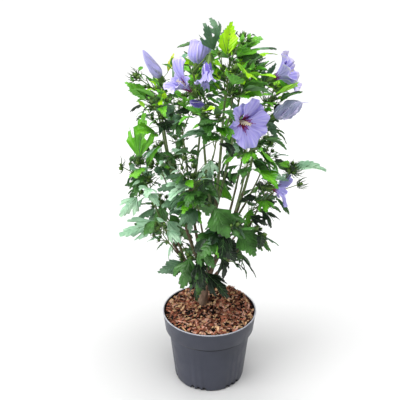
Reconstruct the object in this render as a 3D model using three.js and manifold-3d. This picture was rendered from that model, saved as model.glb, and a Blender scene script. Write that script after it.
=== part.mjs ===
// A hibiscus shrub in its plastic nursery pot, about 0.73 m tall, as separate closed solids.
// Millimetres, +Z up. The origin is the middle of the pot's underside, and -Y is the plant's best side.
// The wood and the foliage grow by one seeded rule from the rows below. A direction is a heading, in
// degrees from +X towards +Y, and a lean, in degrees from straight up.
import * as THREE from 'three';
import { mergeVertices } from 'three/addons/utils/BufferGeometryUtils.js';
import Module from 'manifold-3d';

// Pot: a round tapered body under a deep rim band, with a lip. Its base stands on a ring and a middle pad.
const POT = {
  height: 153, lipRadius: 95, lip: 2.4, bandTop: 94, bandFoot: 90, bandDepth: 39,
  lipSlope: 1.6, bodyTop: 83, bodyFoot: 71.5, footRadius: 70, footHeight: 4, ring: 3.5, pad: 16,
  recess: 8, wall: 1.8, sides: 32,
};
const DRAIN = { count: 6, length: 30, height: 5, depth: 14, turn: -18 };

// Bark mulch: it fills the pot, heaps up round the trunk and behind it, and is level under the trunk.
const MULCH = {
  edge: 146, mound: 10, heap: 17, heapAt: [54, 58], heapWidth: 25, bump: 1.3, bumpsPerMm: 4, steep: 6,
  rimGap: 0.4, levelRadius: 24, levelBlend: 12, sides: 32, rings: 5,
};
const GAP = 0.3;

// Trunk: it leans a little, tapers, and flares out to its roots where it enters the mulch.
const TRUNK = {
  foot: [-13, 15, 157], line: [57.3, -18, 6, 2], steps: 4, spacing: 5, sides: 10,
  radius: 7.5, top: 6.4, flare: 5, flareHeight: 8, below: 6, cut: 40,
};

// Radii of wood: a bough's foot grows with its reach, and its tip and the shoot on it taper from there.
const WOOD = { least: 1.9, perReach: 0.006, taper: 0.52, sides: 5, steps: 4 };
const SHOOT = {
  foot: 0.95, taper: 0.55, sides: 3, steps: 4, bow: 3, twigFoot: 0.62, twigTip: 0.8,
  stalk: 0.9, stalkRoot: 0.54, stalkKeel: 1.5, folded: 1.26,
};

// The crown's half width at each height, about its middle line.
const CROWN = {
  middle: [6, 8],
  form: [
    [200, 76], [262, 98], [300, 116], [335, 146], [370, 164],
    [450, 168], [520, 158], [600, 160], [660, 148], [745, 60],
  ],
};

// Each bough starts on the trunk or on another bough, at that share of its length, and carries a leafy
// shoot. A row holds its name, what it starts on, that share, the bough's reach, heading, lean and bow,
// its shoot's reach, heading and lean, and how many side twigs the shoot has.
const BOUGHS = [
  ['leader', 'trunk', 1, [362, -2, 5, 2], [116, -12, 5], 3],
  ['left_tall', 'trunk', 0.92, [341, 159, 15, 8], [83, -111, 13], 3],
  ['right_tall', 'trunk', 0.95, [323, 1, 17, 8], [100, 5, 16], 3],
  ['left_low', 'trunk', 0.72, [222, -164, 27, 10], [90, -163, 17], 2],
  ['right_low', 'trunk', 0.78, [213, -12, 29, 10], [94, -4, 38], 3],
  ['rear_left', 'trunk', 0.86, [267, 116, 21, 9], [96, 134, 10], 3],
  ['rear_right', 'trunk', 0.82, [251, 51, 26, 9], [89, 45, 16], 3],
  ['centre_left', 'leader', 0.36, [217, -144, 7, 4], [97, -128, 16], 3],
  ['rear_tall', 'leader', 0.42, [207, 51, 19, 8], [95, 6, 6], 3],
  ['front_right', 'right_tall', 0.22, [204, -53, 20, 6], [93, -55, 14], 2],
  ['front_mid', 'leader', 0.14, [146, -106, 27, 8], [89, -109, 20], 3],
  ['rear_upper', 'rear_left', 0.62, [185, 47, 9, 4], [101, 108, 7], 3],
  ['left_rear', 'left_tall', 0.4, [91, 133, 40, 8], [62, 147, 20], 2],
  ['right_rear', 'right_tall', 0.42, [111, 39, 39, 8], [66, 35, 19], 2],
  ['left_side', 'left_low', 0.42, [56, -111, 46, 8], [58, -156, 30], 2],
  ['right_side', 'right_low', 0.36, [68, -52, 40, 8], [46, -32, 34], 2],
  ['centre_mid', 'front_mid', 0.42, [63, -57, 56, 8], [58, -69, 34], 2],
  ['rear_mid', 'rear_right', 0.36, [81, 114, 38, 8], [69, 101, 36], 2],
  ['left_inner', 'left_tall', 0.52, [77, -68, 36, 8], [67, -118, 26], 2],
  ['front_upper', 'centre_left', 0.5, [92, -76, 41, 8], [81, -78, 21], 2],
  ['top_front', 'leader', 0.82, [85, -65, 26, 8], [77, -74, 16], 2],
  ['left_upper', 'left_tall', 0.74, [96, -104, 28, 8], [72, -115, 20], 2],
  ['right_mid', 'rear_right', 0.24, [98, 7, 39, 8], [68, 22, 27], 2],
  ['left_mid', 'left_low', 0.3, [77, 132, 33, 8], [60, 147, 33], 2],
  ['skirt_front', 'trunk', 0.6, [70, -123, 33, 10], [52, -115, 27], 2],
  ['skirt_right', 'trunk', 0.66, [74, -36, 33, 10], [55, -48, 30], 2],
  ['skirt_left', 'trunk', 0.5, [85, 158, 26, 10], [46, 147, 34], 2],
  ['skirt_rear', 'trunk', 0.56, [83, 53, 33, 10], [53, 58, 35], 2],
].map(([name, on, at, bough, shoot, twigs]) => ({ name, on, at, bough, shoot, twigs }));

// Leaves that have a place of their own in the crown's outline. The rest grow round them by the leaf rule.
const LEAVES_PLACED = [
  { on: 'leader', at: 0.96, stalk: [32, -154, 88], blade: [50, -147, 22], roll: 10, width: 0.78 },
  { on: 'leader', at: 1.0, stalk: [30, 133, 64], blade: [37, 139, 35], roll: -20, width: 0.8 },
  { on: 'leader', at: 0.88, stalk: [19, -108, 82], blade: [56, 44, 9], roll: 0, width: 0.72 },
  { on: 'left_tall', at: 1.0, stalk: [28, 14, 77], blade: [60, 17, 35], roll: 20, width: 0.42 },
  { on: 'left_tall', at: 1.0, stalk: [36, -41, 48], blade: [34, 20, 20], roll: 0, width: 0.5 },
  { on: 'left_tall', at: 0.68, stalk: [24, -175, 96], blade: [45, -166, 48], roll: 0, width: 0.6 },
  { on: 'right_tall', at: 0.88, stalk: [29, 140, 68], blade: [46, 19, 41], roll: -25, width: 0.62 },
  { on: 'left_low', at: 1.0, stalk: [15, -83, 33], blade: [82, 41, 9], roll: 0, width: 0.72 },
  { on: 'left_low', at: 0.86, stalk: [12, -15, 76], blade: [48, 5, 28], roll: 30, width: 0.5 },
  { on: 'left_low', at: 0.4, stalk: [33, -124, 102], blade: [47, -150, 130], roll: 0, width: 0.9 },
  { on: 'right_low', at: 0.96, stalk: [12, 98, 83], blade: [72, 5, 85], roll: 25, width: 0.5 },
  { on: 'right_low', at: 0.2, stalk: [56, -120, 21], blade: [48, -10, 85], roll: 10, width: 0.7 },
  { on: 'right_low', at: 0.0, stalk: [20, -112, 40], blade: [24, -15, 108], roll: 0, width: 0.8 },
  { on: 'rear_tall', at: 1.0, stalk: [30, -61, 85], blade: [45, 0, 73], roll: 30, width: 0.5 },
  { on: 'front_mid', at: 1.0, stalk: [44, 33, 55], blade: [36, -96, 153], roll: 0, width: 1.0 },
  { on: 'left_side', at: 0.98, stalk: [11, -171, 14], blade: [72, -163, 104], roll: 20, width: 0.7 },
  { on: 'right_side', at: 1.0, stalk: [31, 111, 49], blade: [41, 0, 121], roll: -20, width: 0.6 },
  { on: 'right_side', at: 1.0, stalk: [34, -146, 71], blade: [55, -38, 140], roll: 5, width: 1.0 },
  { on: 'centre_mid', at: 1.0, stalk: [39, -151, 39], blade: [58, -39, 147], roll: 0, width: 1.05 },
  { on: 'centre_mid', at: 0.0, stalk: [44, -169, 111], blade: [50, -36, 132], roll: -5, width: 0.95 },
  { on: 'left_inner', at: 0.24, stalk: [27, -67, 86], blade: [61, -164, 102], roll: 10, width: 0.75 },
  { on: 'skirt_front', at: 1.0, stalk: [15, -80, 71], blade: [64, -130, 156], roll: 0, width: 0.95 },
  { on: 'skirt_front', at: 0.6, stalk: [15, 158, 93], blade: [55, -169, 111], roll: 15, width: 0.62 },
  { on: 'skirt_front', at: 0.18, stalk: [16, -46, 102], blade: [55, -106, 158], roll: 0, width: 0.7 },
  { on: 'skirt_right', at: 1.0, stalk: [36, -154, 37], blade: [50, -28, 143], roll: -15, width: 0.95 },
  { on: 'skirt_right', at: 0.82, stalk: [22, -137, 91], blade: [43, -62, 168], roll: 40, width: 0.8 },
  { on: 'skirt_right', at: 0.34, stalk: [43, -161, 114], blade: [67, -19, 134], roll: 10, width: 0.7 },
];

// Blooms: the stalk goes from the shoot to the throat, and the bloom faces along its own direction.
const BLOOMS = [
  { on: 'left_tall', at: 1.0, stalk: [13, -47, 34], face: [-164, 30], kind: 'rolled', size: 59 },
  { on: 'centre_left', at: 0.94, stalk: [30, 78, 67], face: [60, 23], kind: 'half', size: 48 },
  { on: 'centre_left', at: 0.68, stalk: [23, -106, 90], face: [-146, 49], kind: 'half', size: 56 },
  { on: 'centre_left', at: 1.0, stalk: [36, -20, 54], face: [-104, 148], kind: 'half', size: 46 },
  { on: 'centre_left', at: 0.3, stalk: [19, -58, 79], face: [-152, 63], kind: 'bud', size: 33 },
  { on: 'front_right', at: 1.0, stalk: [34, 175, 60], face: [-51, 85], kind: 'open', size: 50 },
  { on: 'right_tall', at: 1.0, stalk: [19, -113, 32], face: [-7, 65], kind: 'half', size: 56 },
  { on: 'right_tall', at: 0.48, stalk: [26, -57, 86], face: [-10, 60], kind: 'rolled', size: 54 },
  { on: 'right_low', at: 0.4, stalk: [24, -110, 42], face: [13, 102], kind: 'half', size: 44 },
];

// Openings through the crown, where sky or the open bloom shows from the plant's best side: how far across and
// how high each lies in the plane of the origin, and its radius. No leaf grows in front of one or behind it.
const BEST_EYE = [0, -1300, 1002];
const BEHIND = 1.25;
const OPENINGS = [
  [-26, 700, 11], [-7, 736, 8], [112, 672, 10], [-117, 624, 7], [-53, 639, 5], [92, 591, 7], [113, 592, 7],
  [-115, 580, 11], [-104, 562, 9], [-153, 539, 8], [-34, 554, 11], [131, 556, 6], [-87, 511, 7],
  [-27, 509, 9], [2, 509, 9], [18, 496, 7], [95, 488, 8], [116, 494, 8], [138, 494, 10], [-42, 459, 7],
  [76, 448, 8], [165, 454, 7], [-108, 428, 8], [-160, 456, 6], [46, 389, 7], [163, 405, 6], [132, 380, 10],
  [103, 334, 6], [-90, 310, 10], [67, 292, 6], [-81, 266, 8], [46, 254, 6], [64, 240, 9], [-72, 216, 8],
  [39, 221, 8], [54, 588, 6], [34, 572, 6], [65, 726, 7], [-44, 682, 6],
];

// The library that joins and cuts closed solids.
const wasm = await Module();
wasm.setup();

// Chance: a number from 0 to 1 that depends only on the whole numbers it is given.
const STIR = { start: 0x9E3779B9, key: 0x7F4A7C15, first: 0x85EBCA6B, second: 0xC2B2AE35, range: 4294967296 };

function chance(...keys) {
  let h = STIR.start;
  for (const key of keys) {
    h = Math.imul(h ^ (key + STIR.key), STIR.first);
    h ^= h >>> 13;
    h = Math.imul(h, STIR.second);
    h ^= h >>> 16;
  }
  return (h >>> 0) / STIR.range;
}

function between(low, high, ...keys) {
  return low + (high - low) * chance(...keys);
}

// Directions and lines
const UP = new THREE.Vector3(0, 0, 1);
const ASIDE = new THREE.Vector3(0.27, 0.96, 0.2);

function radians(degrees) {
  return (degrees * Math.PI) / 180;
}

function vector(a) {
  return new THREE.Vector3(a[0], a[1], a[2]);
}

function towards(heading, lean) {
  const h = radians(heading);
  const l = radians(lean);
  return new THREE.Vector3(Math.sin(l) * Math.cos(h), Math.sin(l) * Math.sin(h), Math.cos(l));
}

function from(start, direction, reach) {
  return start.clone().addScaledVector(direction, reach);
}

function squareTo(direction, v) {
  return from(v, direction, -v.dot(direction)).normalize();
}

// A limb's line reaches that far in that direction, and straightens up by the bow on its way.
function limbLine(foot, [reach, heading, lean, bow], steps) {
  const leans = [];
  for (let i = 0; i < steps; i++) leans.push(lean + bow * (1 - (2 * (i + 0.5)) / steps));
  const along = leans.reduce((sum, a) => sum + Math.cos(radians(a - lean)), 0);
  const line = [foot.clone()];
  for (const a of leans) line.push(from(line[line.length - 1], towards(heading, a), reach / along));
  return line;
}

function segmentAt(line, share) {
  return Math.min(Math.floor(share * (line.length - 1)), line.length - 2);
}

function placeOn(line, share) {
  const i = segmentAt(line, share);
  return line[i].clone().lerp(line[i + 1], share * (line.length - 1) - i);
}

function directionOn(line, share) {
  const i = segmentAt(line, share);
  return line[i + 1].clone().sub(line[i]).normalize();
}

function spaced(line, every) {
  const points = [];
  for (let i = 0; i < line.length - 1; i++) {
    const count = Math.max(1, Math.floor(line[i].distanceTo(line[i + 1]) / every));
    for (let j = 0; j < count; j++) points.push(line[i].clone().lerp(line[i + 1], j / count));
  }
  points.push(line[line.length - 1].clone());
  return points;
}

function distanceToLine(line, q) {
  let nearest = Infinity;
  for (let i = 0; i < line.length - 1; i++) {
    const d = line[i + 1].clone().sub(line[i]);
    const w = q.clone().sub(line[i]);
    const t = Math.min(1, Math.max(0, w.dot(d) / d.dot(d)));
    nearest = Math.min(nearest, w.addScaledVector(d, -t).length());
  }
  return nearest;
}

// A leaf blade lies in its own plane: u runs along it, v across it and w out of its upper face.
const BLADE = {
  outline: [[0.5, 0.44], [0.66, 0.22], [1, 0], [0.66, -0.22], [0.5, -0.44]],
  inner: [[0.45, 0], [0.8, 0.08], [0.8, -0.08], [0.25, 0]],
  middle: 0.45, cup: 0.05, lobeDrop: 0.07, tipDrop: 0.06, thickness: 1.4, young: [0.5, 0.36],
};

// How much of a stalk is sunk in its stem, and how far apart a stalk is tested.
const ROOT = 4;
const STALK_SPACING = 10;

// An ellipse that covers the blade, in lengths and widths of the leaf, and its margin along the leaf.
const COVER = { middle: 0.5, along: 0.52, aside: 0.46, margin: 0.06 };

function rolled(face, direction, roll) {
  const turned = face.clone().multiplyScalar(Math.cos(roll));
  return turned.addScaledVector(face.clone().cross(direction), Math.sin(roll));
}

function makeLeaf(node, foot, direction, face, length, width) {
  const normal = squareTo(direction, face);
  const across = normal.clone().cross(direction);
  return { node, foot, direction, normal, across, length, width };
}

function onLeaf(leaf, u, v, w = 0) {
  const p = from(leaf.foot, leaf.direction, u * leaf.length);
  p.addScaledVector(leaf.across, v * leaf.length * leaf.width);
  return p.addScaledVector(leaf.normal, w * leaf.length);
}

function leafOutline(leaf) {
  const lobe = BLADE.outline[0][1];
  return BLADE.outline.map(([u, v]) => {
    const drop = (BLADE.lobeDrop * Math.abs(v)) / lobe + (u === 1 ? BLADE.tipDrop : 0);
    return onLeaf(leaf, u, v, -drop);
  });
}

// How straight the blade goes on from its stalk: 1 is straight on, and -1 is folded back.
function stalkTurn(leaf) {
  return leaf.foot.clone().sub(leaf.node).normalize().dot(leaf.direction);
}

// Places on the blade and on its stalk, where a leaf is tested.
function leafPlaces(leaf) {
  const places = leafOutline(leaf);
  for (const [u, v] of BLADE.inner) places.push(onLeaf(leaf, u, v));
  return places.concat(spaced([leaf.node, leaf.foot], STALK_SPACING).slice(1));
}

// The lines that a leaf is drawn with: round its outline, along its middle, and along its stalk.
function leafLines(leaf) {
  const outline = leafOutline(leaf);
  const root = from(leaf.node, leaf.foot.clone().sub(leaf.node).normalize(), ROOT);
  return [[leaf.foot, ...outline, leaf.foot], [leaf.foot, onLeaf(leaf, 1, 0)], [root, leaf.foot]];
}

// Whether a place lies over the blade, and nearer to its plane than that.
function nearLeaf(leaf, q, clear, margin = COVER.margin) {
  const d = q.clone().sub(leaf.foot);
  const u = d.dot(leaf.direction) / leaf.length;
  const v = d.dot(leaf.across) / (leaf.length * leaf.width);
  const out = ((u - COVER.middle) / (COVER.along + margin)) ** 2 + (v / COVER.aside) ** 2;
  return out < 1 && Math.abs(d.dot(leaf.normal)) < clear;
}

// Whether a line passes through the blade.
function crossesLeaf(leaf, line) {
  const heights = line.map((q) => q.clone().sub(leaf.foot).dot(leaf.normal));
  for (let i = 0; i < line.length - 1; i++) {
    if (heights[i] * heights[i + 1] > 0) continue;
    const share = heights[i] / (heights[i] - heights[i + 1]);
    if (nearLeaf(leaf, line[i].clone().lerp(line[i + 1], share), Infinity)) return true;
  }
  return false;
}

function leavesCross(a, b) {
  if (leafLines(a).some((line) => crossesLeaf(b, line))) return true;
  return leafLines(b).some((line) => crossesLeaf(a, line));
}

// The plant: limbs first, then the shoot that goes on from each bough.
const LIMB_SPACING = 6;
const trunkLine = limbLine(vector(TRUNK.foot), TRUNK.line, TRUNK.steps);
const limbs = new Map([['trunk', trunkLine]]);
const shoots = [];

for (const row of BOUGHS) {
  const line = limbLine(placeOn(limbs.get(row.on), row.at), row.bough, WOOD.steps);
  limbs.set(row.name, line);
  const shootLine = limbLine(line[line.length - 1], [...row.shoot, SHOOT.bow], SHOOT.steps);
  const shoot = { key: shoots.length, name: row.name, row, line: shootLine };
  shoots.push({ ...shoot, leaves: [], twigs: [], blooms: [] });
}

const woodPlaces = [...limbs.values()].flatMap((line) => spaced(line, LIMB_SPACING));
for (const shoot of shoots) shoot.places = spaced(shoot.line, LIMB_SPACING);

// Blooms: how far each kind opens, and the space that it keeps free of leaves.
const BLOOM = {
  open: { spread: 60, free: [[0.2, 0.6], [0.5, 0.9], [0.8, 0.8], [1.3, 0.6], [1.9, 0.5]] },
  half: { spread: 30, free: [[0.15, 0.4], [0.5, 0.48], [0.85, 0.6]] },
  rolled: { spread: 0, free: [[0.15, 0.26], [0.5, 0.26], [0.85, 0.26]] },
  bud: { spread: 0, free: [[0.15, 0.26], [0.5, 0.26], [0.85, 0.26]] },
};
const freeSpheres = [];

for (const row of BLOOMS) {
  const shoot = shoots.find((s) => s.name === row.on);
  const node = placeOn(shoot.line, row.at);
  const throat = from(node, towards(row.stalk[1], row.stalk[2]), row.stalk[0]);
  const face = towards(row.face[0], row.face[1]);
  shoot.blooms.push({ node, throat, face, kind: row.kind, size: row.size });
  for (const [place, radius] of BLOOM[row.kind].free) {
    freeSpheres.push({ centre: from(throat, face, row.size * place), radius: row.size * radius });
  }
}

// Each shoot keeps the space that is nearer to its own line than to any other shoot's.
const SPACE = {
  leaf: 2, fellow: 2, twig: 5, wood: 6, shoot: 2.5, placed: 4, potTop: 166, potRadius: 112, low: 150,
};

function ownSpace(shoot, places, margin) {
  for (const q of places) {
    const mine = distanceToLine(shoot.line, q) + margin;
    for (const other of shoots) {
      if (other !== shoot && distanceToLine(other.line, q) <= mine) return false;
    }
  }
  return true;
}

function crownRadius(z) {
  const form = CROWN.form;
  for (let i = 0; i < form.length - 1; i++) {
    const [low, lowRadius] = form[i];
    const [high, highRadius] = form[i + 1];
    if (z <= high) return lowRadius + ((highRadius - lowRadius) * Math.max(0, z - low)) / (high - low);
  }
  return form[form.length - 1][1];
}

function insideCrown(q) {
  return Math.hypot(q.x - CROWN.middle[0], q.y - CROWN.middle[1]) <= crownRadius(q.z);
}

function overPot(q) {
  return q.z < SPACE.low || (q.z < SPACE.potTop && Math.hypot(q.x, q.y) < SPACE.potRadius);
}

// The lines of sight through the middle and the rim of each opening.
const sightLines = OPENINGS.flatMap(([across, height, radius]) => {
  const eye = vector(BEST_EYE);
  const rim = [[0, 0], [radius, 0], [0, radius], [-radius, 0], [0, -radius]];
  return rim.map(([x, z]) => [eye, eye.clone().lerp(vector([across + x, 0, height + z]), BEHIND)]);
});

const placedLeaves = [];

function leafFits(shoot, leaf) {
  if (stalkTurn(leaf) < LEAF.fold) return false;
  const places = leafPlaces(leaf);
  if (places.some(overPot) || !places.every(insideCrown)) return false;
  if (!ownSpace(shoot, places, SPACE.leaf)) return false;
  if (sightLines.some((line) => crossesLeaf(leaf, line))) return false;
  if (woodPlaces.some((q) => nearLeaf(leaf, q, SPACE.wood))) return false;
  if (shoot.places.some((q) => nearLeaf(leaf, q, SPACE.shoot, 0))) return false;
  for (const { centre, radius } of freeSpheres) {
    if (places.some((q) => q.distanceTo(centre) < radius)) return false;
  }
  for (const other of placedLeaves) {
    if (places.some((q) => nearLeaf(other, q, SPACE.placed))) return false;
    if (leafPlaces(other).some((q) => nearLeaf(leaf, q, SPACE.placed))) return false;
    if (leavesCross(leaf, other)) return false;
  }
  for (const other of shoot.leaves) {
    if (places.some((q) => nearLeaf(other, q, SPACE.fellow))) return false;
    if (leafPlaces(other).some((q) => nearLeaf(leaf, q, SPACE.fellow))) return false;
    if (leavesCross(leaf, other)) return false;
  }
  if ([shoot.line, ...shoot.twigs].some((line) => crossesLeaf(leaf, line))) return false;
  return true;
}

// The leaf rule: leaves hang low on the plant and stand up near its top, where they are smaller.
const LEAF = {
  low: 250, range: 450, length: 73, shrink: 20, size: [0.82, 1.12], width: [0.85, 1.1], narrow: 0.1,
  stalk: [13, 28], droop: -52, lift: 66, rise: [-80, 82], sway: 18, moreSway: 26, roll: 36, swing: 15,
  turns: [0, 35, -35, 70, -70, 120, 180, -120, 20, -50, 95, -150, 150],
  sizes: [1, 1, 1, 0.95, 0.95, 0.9, 0.88, 0.84, 0.8, 0.76, 0.74, 0.7, 0.66],
  turn: 137.5, spacing: 10, fewest: 4, first: 0.4, youngFrom: 0.9, fold: -0.3,
};
const YOUNG = { size: 0.55, stalk: 0.42, lift: 26 };

// How much a blade and its stalk follow their own side of the stem, the crown's outside, and the stem.
const BLADE_WAY = { side: 0.85, outside: 0.5 };
const STALK_WAY = { stem: 0.5, side: 0.8, blade: 0.4 };

// Which draw each of a leaf's chances is.
const DRAW = { stalk: 3, rise: 5, roll: 7, size: 9, swing: 11, width: 13, twigTurn: 55, twig: 60, start: 99 };
const ROOT_MIDDLE = new THREE.Vector3(-8, 8, 0);

function awayFromMiddle(p) {
  return p.clone().sub(ROOT_MIDDLE).setZ(0).normalize();
}

function growLeaf(shoot, node, stem, turn, key, young) {
  const k = shoot.key;
  const side = squareTo(stem, ASIDE);
  const other = stem.clone().cross(side);
  const outside = awayFromMiddle(node);
  const height = (node.z - LEAF.low) / LEAF.range;
  for (let attempt = 0; attempt < LEAF.turns.length; attempt++) {
    const a = radians(turn + LEAF.turns[attempt] + between(-LEAF.swing, LEAF.swing, k, key, DRAW.swing));
    const outward = side.clone().multiplyScalar(Math.cos(a)).addScaledVector(other, Math.sin(a));
    const level = outward.clone().multiplyScalar(BLADE_WAY.side).addScaledVector(outside, BLADE_WAY.outside);
    level.setZ(0).normalize();
    const stalk = (young ? YOUNG.stalk : 1) * between(...LEAF.stalk, k, key, DRAW.stalk);
    const droop = LEAF.droop + LEAF.lift * height + (young ? YOUNG.lift : 0);
    const sway = LEAF.sway + LEAF.moreSway * height;
    const lean = droop + between(-sway, sway, k, key, DRAW.rise, attempt);
    const rise = radians(Math.max(LEAF.rise[0], Math.min(LEAF.rise[1], lean)));
    const direction = level.clone().multiplyScalar(Math.cos(rise)).addScaledVector(UP, Math.sin(rise));
    const way = stem.clone().multiplyScalar(STALK_WAY.stem).addScaledVector(outward, STALK_WAY.side);
    const foot = from(node, way.addScaledVector(level, STALK_WAY.blade).normalize(), stalk);
    const top = UP.clone().multiplyScalar(Math.cos(rise)).addScaledVector(level, -Math.sin(rise));
    const roll = radians(between(-LEAF.roll, LEAF.roll, k, key, DRAW.roll, attempt));
    const full = (LEAF.length - LEAF.shrink * height) * (young ? YOUNG.size : 1);
    const length = full * between(...LEAF.size, k, key, DRAW.size) * LEAF.sizes[attempt];
    const width = between(...LEAF.width, k, key, DRAW.width) - LEAF.narrow * Math.max(0, height);
    const leaf = makeLeaf(node, foot, direction, rolled(top, direction, roll), length, width);
    leaf.young = young;
    if (leafFits(shoot, leaf)) {
      shoot.leaves.push(leaf);
      return;
    }
  }
}

// A side twig leaves its shoot outward and turns up. It has four leaves, the last one young.
const TWIG = {
  turn: 150, retry: 90, tries: 4, length: [0.4, 0.62], leaves: 4, leafTurn: 77, last: 0.99,
  first: 0.5, spare: 0.3, out: 0.8, away: 0.35, stem: 0.7, rise: 0.3, key: 1000, keys: 20,
};

function growTwig(shoot, index) {
  const k = shoot.key;
  const reach = shoot.row.shoot[0];
  const share = (index + TWIG.first) / (shoot.row.twigs + TWIG.spare);
  const start = placeOn(shoot.line, share);
  const stem = directionOn(shoot.line, share);
  const side = squareTo(stem, ASIDE);
  const other = stem.clone().cross(side);
  for (let attempt = 0; attempt < TWIG.tries; attempt++) {
    const turn = TWIG.turn * index + TWIG.retry * attempt;
    const a = 2 * Math.PI * chance(k, DRAW.twigTurn, 0) + radians(turn);
    const way = side.clone().multiplyScalar(Math.cos(a)).addScaledVector(other, Math.sin(a));
    way.multiplyScalar(TWIG.out).addScaledVector(awayFromMiddle(start), TWIG.away);
    way.addScaledVector(stem, TWIG.stem).normalize();
    const length = reach * between(...TWIG.length, k, DRAW.twig + index);
    const upward = from(way, UP, TWIG.rise).normalize();
    const line = [start, from(start, upward, length)];
    const places = spaced(line, LIMB_SPACING).slice(2);
    if (placedLeaves.some((leaf) => places.some((q) => nearLeaf(leaf, q, SPACE.twig)))) continue;
    if (!ownSpace(shoot, places, SPACE.twig)) continue;
    if (shoot.leaves.some((leaf) => crossesLeaf(leaf, [from(start, upward, ROOT), line[1]]))) continue;
    shoot.twigs.push(line);
    for (let i = 0; i < TWIG.leaves; i++) {
      const at = (i + 1) / TWIG.leaves;
      const leafTurn = LEAF.turn * i + TWIG.leafTurn * index;
      const key = TWIG.key + TWIG.keys * index + i;
      growLeaf(shoot, placeOn(line, at), directionOn(line, Math.min(TWIG.last, at)), leafTurn, key, at === 1);
    }
    return;
  }
}

// A placed leaf turns its face to the plant's best side.
const BEST_SIDE = towards(-90, 52);

for (const row of LEAVES_PLACED) {
  const shoot = shoots.find((s) => s.name === row.on);
  const node = placeOn(shoot.line, row.at);
  const foot = from(node, towards(row.stalk[1], row.stalk[2]), row.stalk[0]);
  const direction = towards(row.blade[1], row.blade[2]);
  const face = rolled(squareTo(direction, BEST_SIDE), direction, radians(row.roll));
  const leaf = makeLeaf(node, foot, direction, face, row.blade[0], row.width);
  shoot.leaves.push(leaf);
  placedLeaves.push(leaf);
}

for (const shoot of shoots) {
  const nodes = Math.max(LEAF.fewest, Math.round(shoot.row.shoot[0] / LEAF.spacing));
  for (let i = 0; i < nodes; i++) {
    const share = (i + LEAF.first) / nodes;
    const turn = LEAF.turn * i + 360 * chance(shoot.key, DRAW.start, 0);
    const young = share > LEAF.youngFrom;
    growLeaf(shoot, placeOn(shoot.line, share), directionOn(shoot.line, share), turn, i, young);
  }
  for (let t = 0; t < shoot.row.twigs; t++) growTwig(shoot, t);
}

// Solids
function solidOf(geometry, tolerance = 1e-5) {
  const bare = geometry.clone();
  bare.deleteAttribute('normal');
  bare.deleteAttribute('uv');
  const merged = mergeVertices(bare, tolerance);
  return new wasm.Manifold(new wasm.Mesh({
    numProp: 3,
    vertProperties: new Float32Array(merged.attributes.position.array),
    triVerts: new Uint32Array(merged.index.array),
  }));
}

function geometryOf(solid) {
  const mesh = solid.getMesh();
  const geometry = new THREE.BufferGeometry();
  geometry.setAttribute('position', new THREE.BufferAttribute(mesh.vertProperties, 3));
  geometry.setIndex(new THREE.BufferAttribute(mesh.triVerts, 1));
  return geometry;
}

function solidFromFaces(points, faces) {
  const geometry = new THREE.BufferGeometry().setFromPoints(points);
  geometry.setIndex(faces.flat());
  return solidOf(geometry);
}

// The largest piece of a solid, once points that almost meet are made one.
function largestPiece(solid) {
  const pieces = solidOf(geometryOf(solid), 1e-3).decompose();
  return pieces.reduce((best, piece) => (piece.volume() > best.volume() ? piece : best));
}

function ringOf(centre, ahead, side, radii, extra = 0) {
  const across = squareTo(ahead, side);
  const other = ahead.clone().cross(across);
  return radii.map((radius, i) => {
    const a = (2 * Math.PI * i) / radii.length;
    const p = from(centre, across, (radius + extra) * Math.cos(a));
    return p.addScaledVector(other, (radius + extra) * Math.sin(a));
  });
}

// A closed skin over rings of points. An end that is one point closes on it, and a ring is closed flat.
function skin(rings) {
  const sides = Math.max(rings[0].length, rings[1].length);
  const faces = [];
  let first = 0;
  for (let k = 0; k < rings.length - 1; k++) {
    const last = first + rings[k].length;
    for (let i = 0; i < sides; i++) {
      const next = (i + 1) % sides;
      if (rings[k].length === 1) faces.push([first, last + next, last + i]);
      else if (rings[k + 1].length === 1) faces.push([last, first + i, first + next]);
      else faces.push([first + i, first + next, last + next], [first + i, last + next, last + i]);
    }
    first = last;
  }
  for (let i = 1; i < sides - 1; i++) {
    if (rings[0].length > 1) faces.push([0, i + 1, i]);
    if (rings[rings.length - 1].length > 1) faces.push([first, first + i, first + i + 1]);
  }
  return solidFromFaces(rings.flat(), faces);
}

// A round tapered tube along a line. Extra makes it that much larger all round.
function tubeRings(line, sides, radiusAt, extra = 0) {
  const steps = line.length - 1;
  return line.map((p, i) => {
    const ahead = line[Math.min(i + 1, steps)].clone().sub(line[Math.max(i - 1, 0)]).normalize();
    const shift = i === 0 ? -extra : i === steps ? extra : 0;
    return ringOf(from(p, ahead, shift), ahead, ASIDE, Array(sides).fill(radiusAt(i / steps)), extra);
  });
}

function tube(line, sides, radiusAt, extra) {
  return skin(tubeRings(line, sides, radiusAt, extra));
}

function taper(foot, tip) {
  return (share) => foot + (tip - foot) * share;
}

// A young leaf is a kite that rises straight from its stem.
function youngLeafSolid(leaf) {
  const half = BLADE.thickness / 2 / leaf.length;
  const [along, aside] = BLADE.young;
  const points = [
    leaf.node, onLeaf(leaf, along, aside), onLeaf(leaf, 1, 0), onLeaf(leaf, along, -aside),
    onLeaf(leaf, BLADE.middle, 0, BLADE.cup + half), onLeaf(leaf, BLADE.middle, 0, BLADE.cup - half),
  ];
  const [above, below] = [4, 5];
  const faces = [];
  for (let i = 0; i < 4; i++) faces.push([above, (i + 1) % 4, i], [below, i, (i + 1) % 4]);
  return solidFromFaces(points, faces);
}

// A leaf whose stalk folds back under the blade is joined from a short-stalked leaf and a stalk.
function foldedLeafSolid(leaf) {
  const knee = from(leaf.foot, leaf.direction, -ROOT);
  const stalk = tube([leaf.node, knee, leaf.foot], SHOOT.sides, () => SHOOT.folded);
  return leafSolid({ ...leaf, node: knee }).add(stalk);
}

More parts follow.
